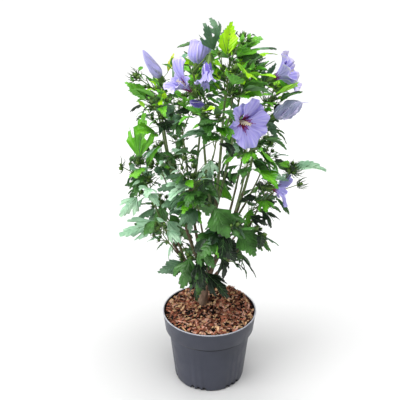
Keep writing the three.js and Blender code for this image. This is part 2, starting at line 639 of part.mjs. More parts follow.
// A leaf is one solid: a thin blade, thickest in its middle, on a three-sided stalk.
function leafSolid(leaf) {
  const half = BLADE.thickness / 2 / leaf.length;
  const stalkWay = leaf.foot.clone().sub(leaf.node).normalize();
  const left = squareTo(stalkWay, leaf.across);
  const down = left.clone().cross(stalkWay);
  const ring = (p, r) => [from(p, left, r), from(p, left, -r), from(p, down, SHOOT.stalkKeel * r)];
  const outline = leafOutline(leaf);
  const n = outline.length;
  const points = [...outline, ...ring(leaf.foot, SHOOT.stalk), ...ring(leaf.node, SHOOT.stalkRoot)];
  points.push(onLeaf(leaf, BLADE.middle, 0, BLADE.cup + half));
  points.push(onLeaf(leaf, BLADE.middle, 0, BLADE.cup - half));
  const [footLeft, footRight, footDown, nodeLeft, nodeRight, nodeDown, above, below] =
    Array.from({ length: 8 }, (_, i) => n + i);
  const edge = [footLeft, ...outline.keys(), footRight];
  const faces = [[above, footLeft, footRight], [below, footRight, footDown], [below, footDown, footLeft]];
  for (let i = 0; i < edge.length - 1; i++) {
    faces.push([above, edge[i + 1], edge[i]], [below, edge[i], edge[i + 1]]);
  }
  faces.push([footLeft, nodeLeft, nodeRight], [footLeft, nodeRight, footRight]);
  faces.push([footLeft, footDown, nodeDown], [footLeft, nodeDown, nodeLeft]);
  faces.push([footDown, footRight, nodeRight], [footDown, nodeRight, nodeDown]);
  faces.push([nodeRight, nodeLeft, nodeDown]);
  return solidFromFaces(points, faces);
}

// A bloom is a skin over its stalk, its green cup and its petals. The column stands out of an open one.
const CALYX = { length: 15, foot: 2.4, rim: 5.5, sides: 5 };
const PETALS = { count: 5, rings: [[0.5, 1, 0.62], [1, 1, 0.8]], thickness: 1.8 };
const COLUMN = { reach: 0.62, radius: 2 };
const CLOSED = [[0.33, 0.2], [0.66, 0.19], [1, 0.05]];
const PETAL_SIDE = new THREE.Vector3(0.1, 0.2, 1);

function bloomSolids({ node, throat, face, kind, size }) {
  const cup = from(throat, face, -CALYX.length);
  const way = cup.clone().sub(node).normalize();
  const even = (radius) => Array(CALYX.sides).fill(radius);
  const rings = [
    ringOf(node, way, PETAL_SIDE, even(SHOOT.stalk)), ringOf(cup, face, PETAL_SIDE, even(CALYX.foot)),
    ringOf(throat, face, PETAL_SIDE, even(CALYX.rim)),
  ];
  const cone = (share, start) => from(start, face, share * size * Math.cos(radians(BLOOM[kind].spread)));
  const open = size * Math.sin(radians(BLOOM[kind].spread));
  if (kind === 'half') {
    rings.push(ringOf(cone(1, throat), face, PETAL_SIDE, even(open)), [from(throat, face, PETALS.thickness)]);
    return [skin(rings)];
  }
  if (kind !== 'open') {
    for (const [along, out] of CLOSED) {
      rings.push(ringOf(from(throat, face, along * size), face, PETAL_SIDE, even(out * size)));
    }
    return [skin(rings)];
  }
  const inside = from(throat, face, PETALS.thickness);
  const petalRings = [throat, inside].map((start) => PETALS.rings.map(([along, crest, notch]) => {
    const radii = Array.from({ length: 2 * PETALS.count }, (_, i) => open * along * (i % 2 ? notch : crest));
    return ringOf(cone(along, start), face, PETAL_SIDE, radii);
  }));
  const column = tube([throat, from(throat, face, size * COLUMN.reach)], SHOOT.sides, () => COLUMN.radius);
  return [skin(rings), skin([[throat], ...petalRings[0], ...petalRings[1].reverse(), [inside]]), column];
}

// A shoot's stem swells into the flower bud at its end.
const TIP_BUD = { length: 13, widest: 0.45, radius: 4.8 };

function stemSolid(line, foot, tip) {
  const end = line[line.length - 1];
  const ahead = directionOn(line, 1);
  const middle = from(end, ahead, TIP_BUD.length * TIP_BUD.widest);
  const belly = ringOf(middle, ahead, ASIDE, Array(SHOOT.sides).fill(TIP_BUD.radius));
  return skin([...tubeRings(line, SHOOT.sides, taper(foot, tip)), belly, [from(end, ahead, TIP_BUD.length)]]);
}

// Wood: each limb is cut clear of the limbs that are made before it.
function limbRadii(row) {
  const foot = WOOD.least + WOOD.perReach * row.bough[0];
  return { foot, tip: foot * WOOD.taper };
}

function trunkRadius(share) {
  const height = share * TRUNK.line[0];
  const flare = TRUNK.flare * Math.exp(-height / TRUNK.flareHeight);
  return TRUNK.radius + (TRUNK.top - TRUNK.radius) * share + flare;
}

function trunkSolid(extra) {
  const line = spaced(trunkLine, TRUNK.spacing);
  line.unshift(from(line[0], directionOn(trunkLine, 0), -TRUNK.below));
  const radius = (share) => trunkRadius(Math.max(0, (share * (line.length - 1) - 1) / (line.length - 2)));
  const ground = new THREE.BoxGeometry(TRUNK.cut, TRUNK.cut, TRUNK.cut);
  ground.translate(TRUNK.foot[0], TRUNK.foot[1], TRUNK.foot[2] - TRUNK.cut / 2 - extra);
  return tube(line, TRUNK.sides, radius, extra).subtract(solidOf(ground));
}

function boughSolid(row, extra) {
  const { foot, tip } = limbRadii(row);
  return tube(limbs.get(row.name), WOOD.sides, taper(foot, tip), extra);
}

const wood = [{ name: 'trunk', solid: trunkSolid(0) }];
let taken = trunkSolid(GAP);
for (const row of BOUGHS) {
  wood.push({ name: `bough_${row.name}`, solid: largestPiece(boughSolid(row, 0).subtract(taken)) });
  taken = taken.add(boughSolid(row, GAP));
}

const foliage = shoots.map((shoot) => {
  const foot = limbRadii(shoot.row).tip * SHOOT.foot;
  const tip = foot * SHOOT.taper;
  const twigRadius = taper(foot * SHOOT.twigFoot, tip * SHOOT.twigTip);
  const parts = [stemSolid(shoot.line, foot, tip)];
  for (const line of shoot.twigs) parts.push(tube(line, SHOOT.sides, twigRadius));
  for (const leaf of shoot.leaves) {
    const folded = stalkTurn(leaf) < LEAF.fold;
    parts.push(leaf.young ? youngLeafSolid(leaf) : folded ? foldedLeafSolid(leaf) : leafSolid(leaf));
  }
  for (const bloom of shoot.blooms) parts.push(...bloomSolids(bloom));
  const fused = wasm.Manifold.union(parts).subtract(taken);
  return { name: `foliage_${shoot.name}`, solid: largestPiece(fused) };
});

// Pot: one profile turned round its axis, with drain notches cut in the foot ring.
function potSolid() {
  const shelf = POT.height - POT.bandDepth;
  const inner = POT.bandTop - POT.wall;
  const profile = [
    [0, 0], [POT.pad, 0], [POT.pad, POT.recess], [POT.footRadius - POT.ring, POT.recess],
    [POT.footRadius - POT.ring, 0], [POT.footRadius, 0], [POT.bodyFoot, POT.footHeight],
    [POT.bodyTop, shelf], [POT.bandFoot, shelf],
    [POT.bandTop, POT.height - POT.lip - POT.lipSlope], [POT.lipRadius, POT.height - POT.lip],
    [POT.lipRadius, POT.height], [inner, POT.height], [POT.bandFoot - POT.wall, shelf + POT.wall],
    [POT.bodyTop - POT.wall, shelf + POT.wall], [POT.bodyFoot - POT.wall, POT.recess + POT.wall],
    [0, POT.recess + POT.wall],
  ].map(([r, z]) => new THREE.Vector2(r, z));
  const turned = new THREE.LatheGeometry(profile, POT.sides);
  turned.rotateX(Math.PI / 2);
  let pot = solidOf(turned);
  for (let i = 0; i < DRAIN.count; i++) {
    const notch = new THREE.BoxGeometry(DRAIN.length, DRAIN.depth, DRAIN.height * 2);
    notch.translate(0, -POT.footRadius, 0);
    notch.rotateZ((2 * Math.PI * i) / DRAIN.count + radians(DRAIN.turn));
    pot = pot.subtract(solidOf(notch));
  }
  return pot;
}

function mulchLevel(x, y) {
  const r = Math.hypot(x, y) / POT.bandTop;
  const apart = Math.hypot(x - MULCH.heapAt[0], y - MULCH.heapAt[1]) / MULCH.heapWidth;
  const heap = MULCH.heap * Math.exp(-(apart ** 2) / 2);
  return MULCH.edge + (MULCH.mound + heap) * Math.max(0, 1 - r ** MULCH.steep);
}

function mulchSolid() {
  const shelf = POT.height - POT.bandDepth + POT.wall + GAP;
  const floor = POT.recess + POT.wall + GAP;
  const slope = (POT.bandTop - POT.bandFoot) / (POT.bandDepth - POT.lip - POT.lipSlope);
  const rim = POT.bandFoot - POT.wall - MULCH.rimGap + slope * (MULCH.edge - shelf);
  const profile = [[0, floor], [POT.bodyFoot - POT.wall - GAP, floor],
    [POT.bodyTop - POT.wall - GAP, shelf], [POT.bandFoot - POT.wall - GAP, shelf]];
  for (let i = 0; i <= MULCH.rings; i++) profile.push([rim * (1 - i / MULCH.rings), MULCH.edge]);
  const turned = new THREE.LatheGeometry(profile.map(([r, z]) => new THREE.Vector2(r, z)), MULCH.sides);
  turned.rotateX(Math.PI / 2);
  const position = turned.attributes.position;
  const [trunkX, trunkY, trunkZ] = TRUNK.foot;
  for (let i = 0; i < position.count; i++) {
    const x = position.getX(i);
    const y = position.getY(i);
    if (position.getZ(i) < MULCH.edge - GAP || Math.hypot(x, y) > rim - GAP) continue;
    const spot = [Math.round(x * MULCH.bumpsPerMm), Math.round(y * MULCH.bumpsPerMm)];
    const bump = MULCH.bump * between(-1, 1, ...spot);
    const level = mulchLevel(x, y) + bump;
    const apart = Math.hypot(x - trunkX, y - trunkY);
    const blend = Math.min(1, Math.max(0, (apart - MULCH.levelRadius) / MULCH.levelBlend));
    position.setZ(i, (trunkZ - GAP) * (1 - blend) + level * blend);
  }
  return solidOf(turned);
}

// Finishes
const FINISH = {
  pot: new THREE.MeshStandardMaterial({ color: 0x5d6373, roughness: 0.45, metalness: 0 }),
  mulch: new THREE.MeshStandardMaterial({ color: 0x7d4c33, roughness: 0.95, metalness: 0 }),
  bark: new THREE.MeshStandardMaterial({ color: 0x77684c, roughness: 0.85, metalness: 0 }),
  leaf: new THREE.MeshStandardMaterial({ color: 0x2f7a3a, roughness: 0.5, metalness: 0 }),
};

function part(name, solid, finish) {
  const mesh = new THREE.Mesh(geometryOf(solid), finish.clone());
  mesh.name = name;
  return mesh;
}

const planter = new THREE.Group();
planter.add(part('pot', potSolid(), FINISH.pot), part('mulch', mulchSolid(), FINISH.mulch));

const shrub = new THREE.Group();
for (const { name, solid } of wood) shrub.add(part(name, solid, FINISH.bark));
for (const { name, solid } of foliage) shrub.add(part(name, solid, FINISH.leaf));

const model = new THREE.Group();
model.add(planter, shrub);

export default model;
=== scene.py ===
import math

import bpy
import numpy as np
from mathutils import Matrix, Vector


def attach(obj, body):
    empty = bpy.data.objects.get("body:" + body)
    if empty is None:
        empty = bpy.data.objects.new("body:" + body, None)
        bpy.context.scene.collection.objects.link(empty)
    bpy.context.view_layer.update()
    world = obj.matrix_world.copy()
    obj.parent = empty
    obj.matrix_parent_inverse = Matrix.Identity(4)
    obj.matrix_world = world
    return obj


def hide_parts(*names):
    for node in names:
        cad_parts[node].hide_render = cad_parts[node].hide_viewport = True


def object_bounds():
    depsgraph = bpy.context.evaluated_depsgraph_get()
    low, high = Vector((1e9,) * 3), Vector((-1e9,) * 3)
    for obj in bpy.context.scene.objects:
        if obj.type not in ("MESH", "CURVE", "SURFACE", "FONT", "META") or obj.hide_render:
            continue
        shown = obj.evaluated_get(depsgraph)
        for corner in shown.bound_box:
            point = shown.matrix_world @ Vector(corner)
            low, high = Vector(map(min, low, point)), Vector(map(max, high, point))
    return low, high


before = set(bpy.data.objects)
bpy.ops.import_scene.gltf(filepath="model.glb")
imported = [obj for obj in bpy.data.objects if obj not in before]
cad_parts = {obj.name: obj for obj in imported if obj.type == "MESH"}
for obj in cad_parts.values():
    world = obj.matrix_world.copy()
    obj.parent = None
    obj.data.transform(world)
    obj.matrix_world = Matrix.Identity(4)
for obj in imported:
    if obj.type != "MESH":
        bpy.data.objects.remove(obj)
cad_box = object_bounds()

# The stage: a pale studio floor that runs off to white under a soft light from straight above, with a
# weaker, lower one on the left, and a panel behind the plant that puts a sheen on its leaves.
PHOTO_SIDE = 400
FOCAL_PIXELS = 753.35
SENSOR = 36.0
EYE = (0.0, -1.300, 1.002)
EYE_PITCH = 65.06
EYE_YAW = 0.85
FLOOR = dict(half_side=40, grey=0.69, roughness=0.9, shine=0.1, gap=0.0005)
AIR_STRENGTH = 0.2


def set_up_camera():
    lens = bpy.data.cameras.new("camera")
    lens.sensor_width = SENSOR
    lens.lens = FOCAL_PIXELS / PHOTO_SIDE * SENSOR
    camera = bpy.data.objects.new("camera", lens)
    camera.location = EYE
    camera.rotation_euler = (math.radians(EYE_PITCH), 0, math.radians(EYE_YAW))
    bpy.context.scene.collection.objects.link(camera)
    bpy.context.scene.camera = camera


def hang_lamp(name, lamp_data, place, aim):
    lamp = bpy.data.objects.new(name, lamp_data)
    lamp.location = place
    away = np.array(place) - np.array(aim)
    lamp.rotation_euler = (
        math.atan2(math.hypot(away[0], away[1]), away[2]), 0, math.atan2(away[0], -away[1]),
    )
    bpy.context.scene.collection.objects.link(lamp)


def even_light(name, place, strength, softness):
    """A light that is as strong all over the floor, with shadows softened by that angle."""
    sky = bpy.data.lights.new(name, "SUN")
    sky.energy = strength
    sky.angle = math.radians(softness)
    hang_lamp(name, sky, place, (0, 0, 0))


def soft_panel(name, place, aim, side, watts):
    panel = bpy.data.lights.new(name, "AREA")
    panel.shape = "DISK"
    panel.size = side
    panel.energy = watts
    hang_lamp(name, panel, place, aim)


def studio_floor():
    side, grey = FLOOR["half_side"], FLOOR["grey"]
    corners = [(-side, -side, 0), (side, -side, 0), (side, side, 0), (-side, side, 0)]
    mesh = bpy.data.meshes.new("floor")
    mesh.from_pydata(corners, [], [(0, 1, 2, 3)])
    paper = bpy.data.materials.new("floor_paper")
    paper.use_nodes = True
    inputs = paper.node_tree.nodes["Principled BSDF"].inputs
    inputs["Base Color"].default_value = (grey, grey, grey, 1)
    inputs["Roughness"].default_value = FLOOR["roughness"]
    inputs["Specular IOR Level"].default_value = FLOOR["shine"]
    mesh.materials.append(paper)
    floor = bpy.data.objects.new("floor", mesh)
    floor.location.z = -FLOOR["gap"]
    bpy.context.scene.collection.objects.link(floor)


set_up_camera()
even_light("overhead_light", (0.1, -0.3, 2.6), 3.3, 45)
even_light("window_light", (-2.4, -1.3, 1.1), 2.1, 45)
soft_panel("back_panel", (-0.9, 1.6, 2.0), (0, 0, 0.4), 1.8, 14)
studio_floor()
world = bpy.data.worlds.new("studio_air")
world.use_nodes = True
air = world.node_tree.nodes["Background"].inputs
air["Color"].default_value = (1, 1, 1, 1)
air["Strength"].default_value = AIR_STRENGTH
bpy.context.scene.world = world
bpy.context.scene.view_settings.view_transform = "Standard"

# Pot: a thin-walled nursery pot, moulded in one piece of slate-grey plastic. It has a rolled lip with a
# painted highlight along its edge, a deep rim band over a ledge, and a tapered body whose foot ring has drain
# holes in it.
MM = 0.001
POT = dict(height=153, lip_radius=95, lip=2.4, band_top=94, band_foot=90, band_depth=39, lip_slope=1.6,
           body_top=83, body_foot=71.5, foot_radius=70, foot_height=4, ring=3.5, pad=16, recess=8,
           wall=1.8, sides=180, lip_edge=1.3, groove=6.8, web=1.5, corner=1.6,
           web_gap=0.4, neck=0.5, groove_depth=1.2, groove_slope=0.8, near=0.3)
SHELF = POT["height"] - POT["band_depth"]
DRAIN = dict(groups=6, height=7.8, blend=12, turn=-18, hole=7.4, hole_pitch=10.0)
TONE_STOPS = (0.35, 0.65)
PATCH_STOPS = (0.3, 0.7)
CORNER_SHARE = 0.45


def colours(*hex_codes):
    """Colours as seen, such as 5d6373, in the shader's own numbers."""
    seen = [[int(code[i:i + 2], 16) / 255 for i in (0, 2, 4)] for code in hex_codes]
    return [tuple(p / 12.92 if p <= 0.04045 else ((p + 0.055) / 1.055) ** 2.4 for p in parts) + (1.0,)
            for parts in seen]


def add_piece(name, points, faces, finishes, slot_name, stands_for, grain=None, face_finish=None, sharp=60):
    """Makes one piece from points in millimetres and triangles, and fixes it to the shrub's body."""
    points, faces = np.asarray(points, float), np.asarray(faces, np.int32)
    mesh = bpy.data.meshes.new(name)
    mesh.vertices.add(len(points))
    mesh.vertices.foreach_set("co", (points * MM).astype(np.float32).ravel())
    mesh.loops.add(faces.size)
    mesh.loops.foreach_set("vertex_index", faces.ravel())
    mesh.polygons.add(len(faces))
    mesh.polygons.foreach_set("loop_start", np.arange(0, faces.size, 3, dtype=np.int32))
    for finish in finishes:
        mesh.materials.append(finish)
    if face_finish is not None:
        mesh.polygons.foreach_set("material_index", np.asarray(face_finish, np.int32))
    if grain is not None:
        layer = mesh.attributes.new("grain", "FLOAT_VECTOR", "POINT")
        layer.data.foreach_set("vector", np.asarray(grain, np.float32).ravel())
    mesh.update(calc_edges=True)
    mesh.validate()
    mesh.shade_smooth()
    mesh.set_sharp_from_angle(angle=math.radians(sharp))
    piece = bpy.data.objects.new(name, mesh)
    bpy.context.scene.collection.objects.link(piece)
    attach(piece, "root")
    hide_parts(*stands_for)


def grain_places(finish):
    """Places as the piece itself carries them: along a stem and round it, or along a leaf and across."""
    places = finish.node_tree.nodes.new("ShaderNodeAttribute")
    places.attribute_name = "grain"
    return places.outputs["Vector"]


def blotches(finish, on_grain, scale, detail, stretch=(1, 1, 1)):
    """A noise pattern that lies in the piece's own coordinates, or on its grain."""
    nodes, links = finish.node_tree.nodes, finish.node_tree.links
    places = grain_places(finish) if on_grain else nodes.new("ShaderNodeTexCoord").outputs["Object"]
    mapping = nodes.new("ShaderNodeMapping")
    mapping.inputs["Scale"].default_value = stretch
    links.new(places, mapping.inputs["Vector"])
    noise = nodes.new("ShaderNodeTexNoise")
    noise.inputs["Scale"].default_value = scale
    noise.inputs["Detail"].default_value = detail
    links.new(mapping.outputs["Vector"], noise.inputs["Vector"])
    return noise.outputs["Fac"]


def relief(finish, pattern, depth_mm, strength):
    """Raises a pattern on the surface by a bump."""
    nodes, links = finish.node_tree.nodes, finish.node_tree.links
    bump = nodes.new("ShaderNodeBump")
    bump.inputs["Strength"].default_value = strength
    bump.inputs["Distance"].default_value = depth_mm * MM
    links.new(pattern, bump.inputs["Height"])
    links.new(bump.outputs["Normal"], nodes["Principled BSDF"].inputs["Normal"])


def mottled(name, tones, shine, roughness, on_grain, cloud, patches, bumps=None, raised=None):
    """A finish with two tones laid out by one noise, roughness by a second one and relief by a third.
    Roughness is its usual value and its range, a noise its scale, detail and stretch."""
    finish = bpy.data.materials.new(name)
    finish.use_nodes = True
    nodes, links = finish.node_tree.nodes, finish.node_tree.links
    inputs = nodes["Principled BSDF"].inputs
    inputs["Roughness"].default_value = roughness[0]
    inputs["Specular IOR Level"].default_value = shine
    ramp = nodes.new("ShaderNodeValToRGB")
    for stop, position, tone in zip(ramp.color_ramp.elements, TONE_STOPS, tones):
        stop.position = position
        stop.color = tone
    links.new(blotches(finish, on_grain, *cloud), ramp.inputs["Fac"])
    links.new(ramp.outputs["Color"], inputs["Base Color"])
    ranged = nodes.new("ShaderNodeMapRange")
    limits = (*PATCH_STOPS, *roughness[1:])
    for limit, value in zip(("From Min", "From Max", "To Min", "To Max"), limits):
        ranged.inputs[limit].default_value = value
    links.new(blotches(finish, on_grain, *patches), ranged.inputs["Value"])
    links.new(ranged.outputs["Result"], inputs["Roughness"])
    if bumps:
        relief(finish, blotches(finish, on_grain, *bumps), *raised)
    return finish


def moulded_plastic(name, *tones):
    return mottled(name, colours(*tones), 0.45, (0.42, 0.36, 0.5), False, (9, 4), (60, 5), (900, 2),
                   (0.05, 0.5))


def rounded(profile, radius, steps=2):
    """Rounds each inner corner of a profile by up to that radius."""
    corners = [np.array(p, float) for p in profile]
    soft = [corners[0]]
    for before, corner, after in zip(corners, corners[1:], corners[2:]):
        back, on = before - corner, after - corner
        reach = min(radius, np.linalg.norm(back) * CORNER_SHARE, np.linalg.norm(on) * CORNER_SHARE)
        start = corner + back / np.linalg.norm(back) * reach
        end = corner + on / np.linalg.norm(on) * reach
        for t in np.linspace(0, 1, steps + 1):
            soft.append((1 - t) ** 2 * start + 2 * t * (1 - t) * corner + t * t * end)
    soft.append(corners[-1])
    return np.array(soft)


def pot_profile():
    p = POT
    inner = p["band_top"] - p["wall"]
    ring = p["foot_radius"] - p["ring"]
    outside = [
        (0, 0), (p["pad"], 0), (p["pad"], p["recess"]), (ring - p["web"], p["recess"]),
        (ring - p["web"], p["web_gap"]), (ring, 0), (p["foot_radius"], 0), (p["body_foot"], p["foot_height"]),
        (p["body_top"] - p["neck"], SHELF - p["groove"]),
        (p["body_top"] - p["groove_depth"], SHELF - p["groove"] + p["groove_slope"]),
        (p["body_top"] - p["groove_depth"], SHELF), (p["band_foot"], SHELF),
        (p["band_top"], p["height"] - p["lip"] - p["lip_slope"]),
        (p["lip_radius"], p["height"] - p["lip"]), (p["lip_radius"], p["height"]), (inner, p["height"]),
        (p["band_foot"] - p["wall"], SHELF + p["wall"]), (p["body_top"] - p["wall"], SHELF + p["wall"]),
        (p["body_foot"] - p["wall"], p["recess"] + p["wall"]), (0, p["recess"] + p["wall"]),
    ]
    return rounded(outside, p["corner"])


def angles_round(sides):
    return 2 * np.pi * np.arange(sides) / sides


def turned(profile, sides):
    """Turns a profile round the pot's axis. Its first and last points lie on the axis."""
    ring = np.stack([np.cos(angles_round(sides)), np.sin(angles_round(sides))], 1)
    rows = [np.column_stack([ring * r, np.full(sides, z)]) for r, z in profile[1:-1]]
    points = np.vstack([[0, 0, profile[0][1]], *rows, [0, 0, profile[-1][1]]])
    i = np.arange(sides)
    j = (i + 1) % sides
    faces = [np.stack([np.zeros(sides, int), 1 + j, 1 + i], 1)]
    for k in range(len(rows) - 1):
        a, b = 1 + k * sides, 1 + (k + 1) * sides
        faces += [np.stack([a + i, a + j, b + j], 1), np.stack([a + i, b + j, b + i], 1)]
    a, top = 1 + (len(rows) - 1) * sides, len(points) - 1
    faces.append(np.stack([a + i, a + j, np.full(sides, top)], 1))
    return points, np.vstack(faces)


def cut_drain_holes(points):
    """Lifts the foot ring over three holes side by side, six times round the pot."""
    heading = np.degrees(np.arctan2(points[:, 1], points[:, 0]))
    pitch = 360 / DRAIN["groups"]
    off_group = (heading + 90 - DRAIN["turn"] + pitch / 2) % pitch - pitch / 2
    off_hole = (off_group + DRAIN["hole_pitch"] / 2) % DRAIN["hole_pitch"] - DRAIN["hole_pitch"] / 2
    in_hole = (np.abs(off_group) < DRAIN["hole_pitch"] * 1.5) & (np.abs(off_hole) < DRAIN["hole"] / 2 + 0.1)
    in_hole &= np.hypot(points[:, 0], points[:, 1]) > POT["foot_radius"] - POT["ring"] - 0.1
    share = np.clip(1 - points[:, 2] / DRAIN["blend"], 0, 1)
    points[:, 2] += np.where(in_hole, DRAIN["height"] * share, 0)


def make_pot():
    points, faces = turned(pot_profile(), POT["sides"])
    cut_drain_holes(points)
    middle = points[faces].mean(1)
    out, height = np.hypot(middle[:, 0], middle[:, 1]), middle[:, 2]
    # The top edge of the lip takes a pale finish: a painted highlight.
    on_lip = height > POT["height"] - POT["lip_edge"]
    on_lip &= out > POT["band_top"] - POT["wall"] + POT["near"]
    outside = (out > POT["band_foot"] - POT["wall"] / 2) | (height < SHELF)
    band_share = (height - SHELF) / POT["band_depth"]
    wall_middle = POT["band_foot"] - POT["wall"] / 2 + (POT["band_top"] - POT["band_foot"]) * band_share
    # The inside wall, the recess under the foot and the groove under the band take a dark finish: painted
    # shade.
    within = ~on_lip & outside & (height > SHELF) & (out < wall_middle)
    underneath = (height < POT["recess"] + 0.1) & (out < POT["foot_radius"] - 0.5)
    in_groove = (np.abs(height - SHELF + POT["groove"] / 2) < POT["groove"] / 2) & outside
    in_groove &= (out < POT["body_top"]) & (out > POT["body_top"] - POT["wall"] + POT["near"])
    face_finish = np.where(on_lip, 1, np.where(within | underneath | in_groove, 2, 0))
    finishes = [moulded_plastic("slate_plastic", "323543", "3d404e"),
                moulded_plastic("lip_highlight_plastic", "b4b5bf", "cccdd5"),
                moulded_plastic("shaded_inner_plastic", "1d1e24", "2a2b32")]
    add_piece("pot_shell", points, faces, finishes, "pot", ["pot"], face_finish=face_finish, sharp=35)


make_pot()

# Mulch: bark chips and crumbs tipped into the pot up to just under its lip. They heap up a little round
# the trunk and behind it, and lie loose on each other, red-brown, tan and nearly black.
MULCH = dict(edge=146, mound=10, heap=17, heap_at=(54, 58), heap_width=25, steep=6, rim=90.6,
             level_radius=24, level_blend=12, sunk=4.5, rings=40, sides=150, gap=0.5, rough=0.7)
TRUNK = dict(foot=(-13, 15, 157), line=(57.3, -18, 6, 2), steps=4, radius=7.5, top=6.4, flare=5,
             flare_height=8, roots=((4, 0.22, 0.7), (7, 0.12, 2)), below=7, collar=0.3, collar_height=7,
             sides=44, furrow=0.035, step=1.6, closes_from=0.86, closes_by=0.65)
CHIPS = [
    ("red_brown", "9f5a42", "c68066", 520), ("umber", "673c2c", "905c48", 430),
    ("tan", "d6a676", "f4cea2", 430), ("dark", "1a100d", "2c1c17", 400),
    ("pink_brown", "cf9781", "f0c4b0", 380),
]
CHIP = dict(length=(8, 25), breadth=(3.5, 8.5), depth=(0.8, 2.6), lean=26, lift=(-1.5, 3.2), corners=6,
            reach=88.5, clear_of_trunk=4)
MULCH_SEED = 41


def mulch_level(x, y):
    r = np.hypot(x, y) / POT["band_top"]
    apart = np.hypot(x - MULCH["heap_at"][0], y - MULCH["heap_at"][1]) / MULCH["heap_width"]
    heap = MULCH["heap"] * np.exp(-apart ** 2 / 2)
    level = MULCH["edge"] + (MULCH["mound"] + heap) * np.maximum(0, 1 - r ** MULCH["steep"])
    out = np.hypot(x - TRUNK["foot"][0], y - TRUNK["foot"][1])
    blend = np.clip((out - MULCH["level_radius"]) / MULCH["level_blend"], 0, 1)
    return TRUNK["foot"][2] * (1 - blend) + level * blend


def chipped_bark(name, *tones):
    return mottled(name, colours(*tones), 0.25, (0.85, 0.7, 0.95), False, (160, 4), (90, 2), (1400, 4),
                   (0.5, 0.9))


def make_mulch_bed():
    """The bed under the chips: a rough disc of crumbs that closes down to the pot's floor."""
    clear = POT["wall"] + MULCH["gap"]
    floor, shelf = POT["recess"] + clear, SHELF + clear
    profile = [(0, floor), (POT["body_foot"] - clear, floor), (POT["body_top"] - clear, shelf),
               (POT["band_foot"] - clear, shelf)]
    profile += [(r, MULCH["edge"]) for r in np.linspace(MULCH["rim"], 0, MULCH["rings"] + 1)]
    points, faces = turned(profile, MULCH["sides"])
    top = points[:, 2] > MULCH["edge"] - 0.1
    rough = np.random.default_rng(MULCH_SEED).normal(0, MULCH["rough"], len(points))
    crumbs = mulch_level(points[:, 0], points[:, 1]) - MULCH["sunk"] + rough
    points[:, 2] = np.where(top, crumbs, points[:, 2])
    finish = chipped_bark("mulch_crumbs", "2a1a14", "55352a")
    add_piece("mulch_bed", points, faces, [finish], "mulch", ["mulch"], sharp=80)


def turned_pair(a, b, angle):
    """Turns two coordinates of each chip's corners by that chip's angle."""
    c, s = np.cos(angle)[:, None], np.sin(angle)[:, None]
    return a * c - b * s, a * s + b * c


def chip_shapes(count, rng):
    """Flat splintered chips, each an uneven slab with six corners, lying at all angles."""
    n = CHIP["corners"]
    around = 2 * np.pi * (np.arange(n) + rng.uniform(-0.25, 0.25, (count, n))) / n
    length = rng.uniform(*CHIP["length"], count) * rng.uniform(0.6, 1, count)
    breadth = np.minimum(rng.uniform(*CHIP["breadth"], count), length * 0.7)
    depth = rng.uniform(*CHIP["depth"], count)
    edge = rng.uniform(0.7, 1.05, (count, n))
    slab = np.zeros((count, 2 * n, 3))
    for layer, sign in ((0, 1), (1, -1)):
        rows = slice(layer * n, (layer + 1) * n)
        shrink = rng.uniform(0.6, 1.0, (count, n))
        slab[:, rows, 0] = length[:, None] / 2 * np.cos(around) * edge * shrink
        slab[:, rows, 1] = breadth[:, None] / 2 * np.sin(around) * edge * shrink
        slab[:, rows, 2] = sign * depth[:, None] / 2 * rng.uniform(0.5, 1.2, (count, n))
    turn = rng.uniform(0, 2 * np.pi, count)
    tip = np.radians(rng.normal(0, CHIP["lean"], (2, count)))
    x, y, z = slab[..., 0], slab[..., 1], slab[..., 2]
    x, z = turned_pair(x, z, -tip[0])
    y, z = turned_pair(y, z, -tip[1])
    x, y = turned_pair(x, y, turn)
    return np.stack([x, y, z], 2)


def slab_faces(n):
    faces = [(0, i, i + 1) for i in range(1, n - 1)] + [(n, n + i + 1, n + i) for i in range(1, n - 1)]
    for i in range(n):
        j = (i + 1) % n
        faces += [(j, i, n + i), (j, n + i, n + j)]
    return np.array(faces)


def make_chips():
    rng = np.random.default_rng(MULCH_SEED)
    single = slab_faces(CHIP["corners"])
    for name, *tones, count in CHIPS:
        reach = CHIP["reach"] * np.sqrt(rng.uniform(0, 1, count))
        heading = rng.uniform(0, 2 * np.pi, count)
        x, y = reach * np.cos(heading), reach * np.sin(heading)
        out = np.hypot(x - TRUNK["foot"][0], y - TRUNK["foot"][1])
        clear = out > TRUNK["radius"] + CHIP["clear_of_trunk"]
        x, y = x[clear], y[clear]
        shapes = chip_shapes(len(x), rng)
        lift = rng.uniform(*CHIP["lift"], len(x))
        shapes += np.stack([x, y, mulch_level(x, y) - 1 + lift], 1)[:, None]
        out = np.hypot(shapes[..., 0], shapes[..., 1]).max(1)
        shapes[..., :2] *= np.minimum(1, MULCH["rim"] / out)[:, None, None]
        faces = (np.arange(len(x))[:, None, None] * shapes.shape[1] + single).reshape(-1, 3)
        finish = chipped_bark("bark_chip_" + name, *tones)
        add_piece("mulch_chips_" + name, shapes.reshape(-1, 3), faces, [finish], "mulch", ["mulch"], sharp=25)


make_mulch_bed()
make_chips()

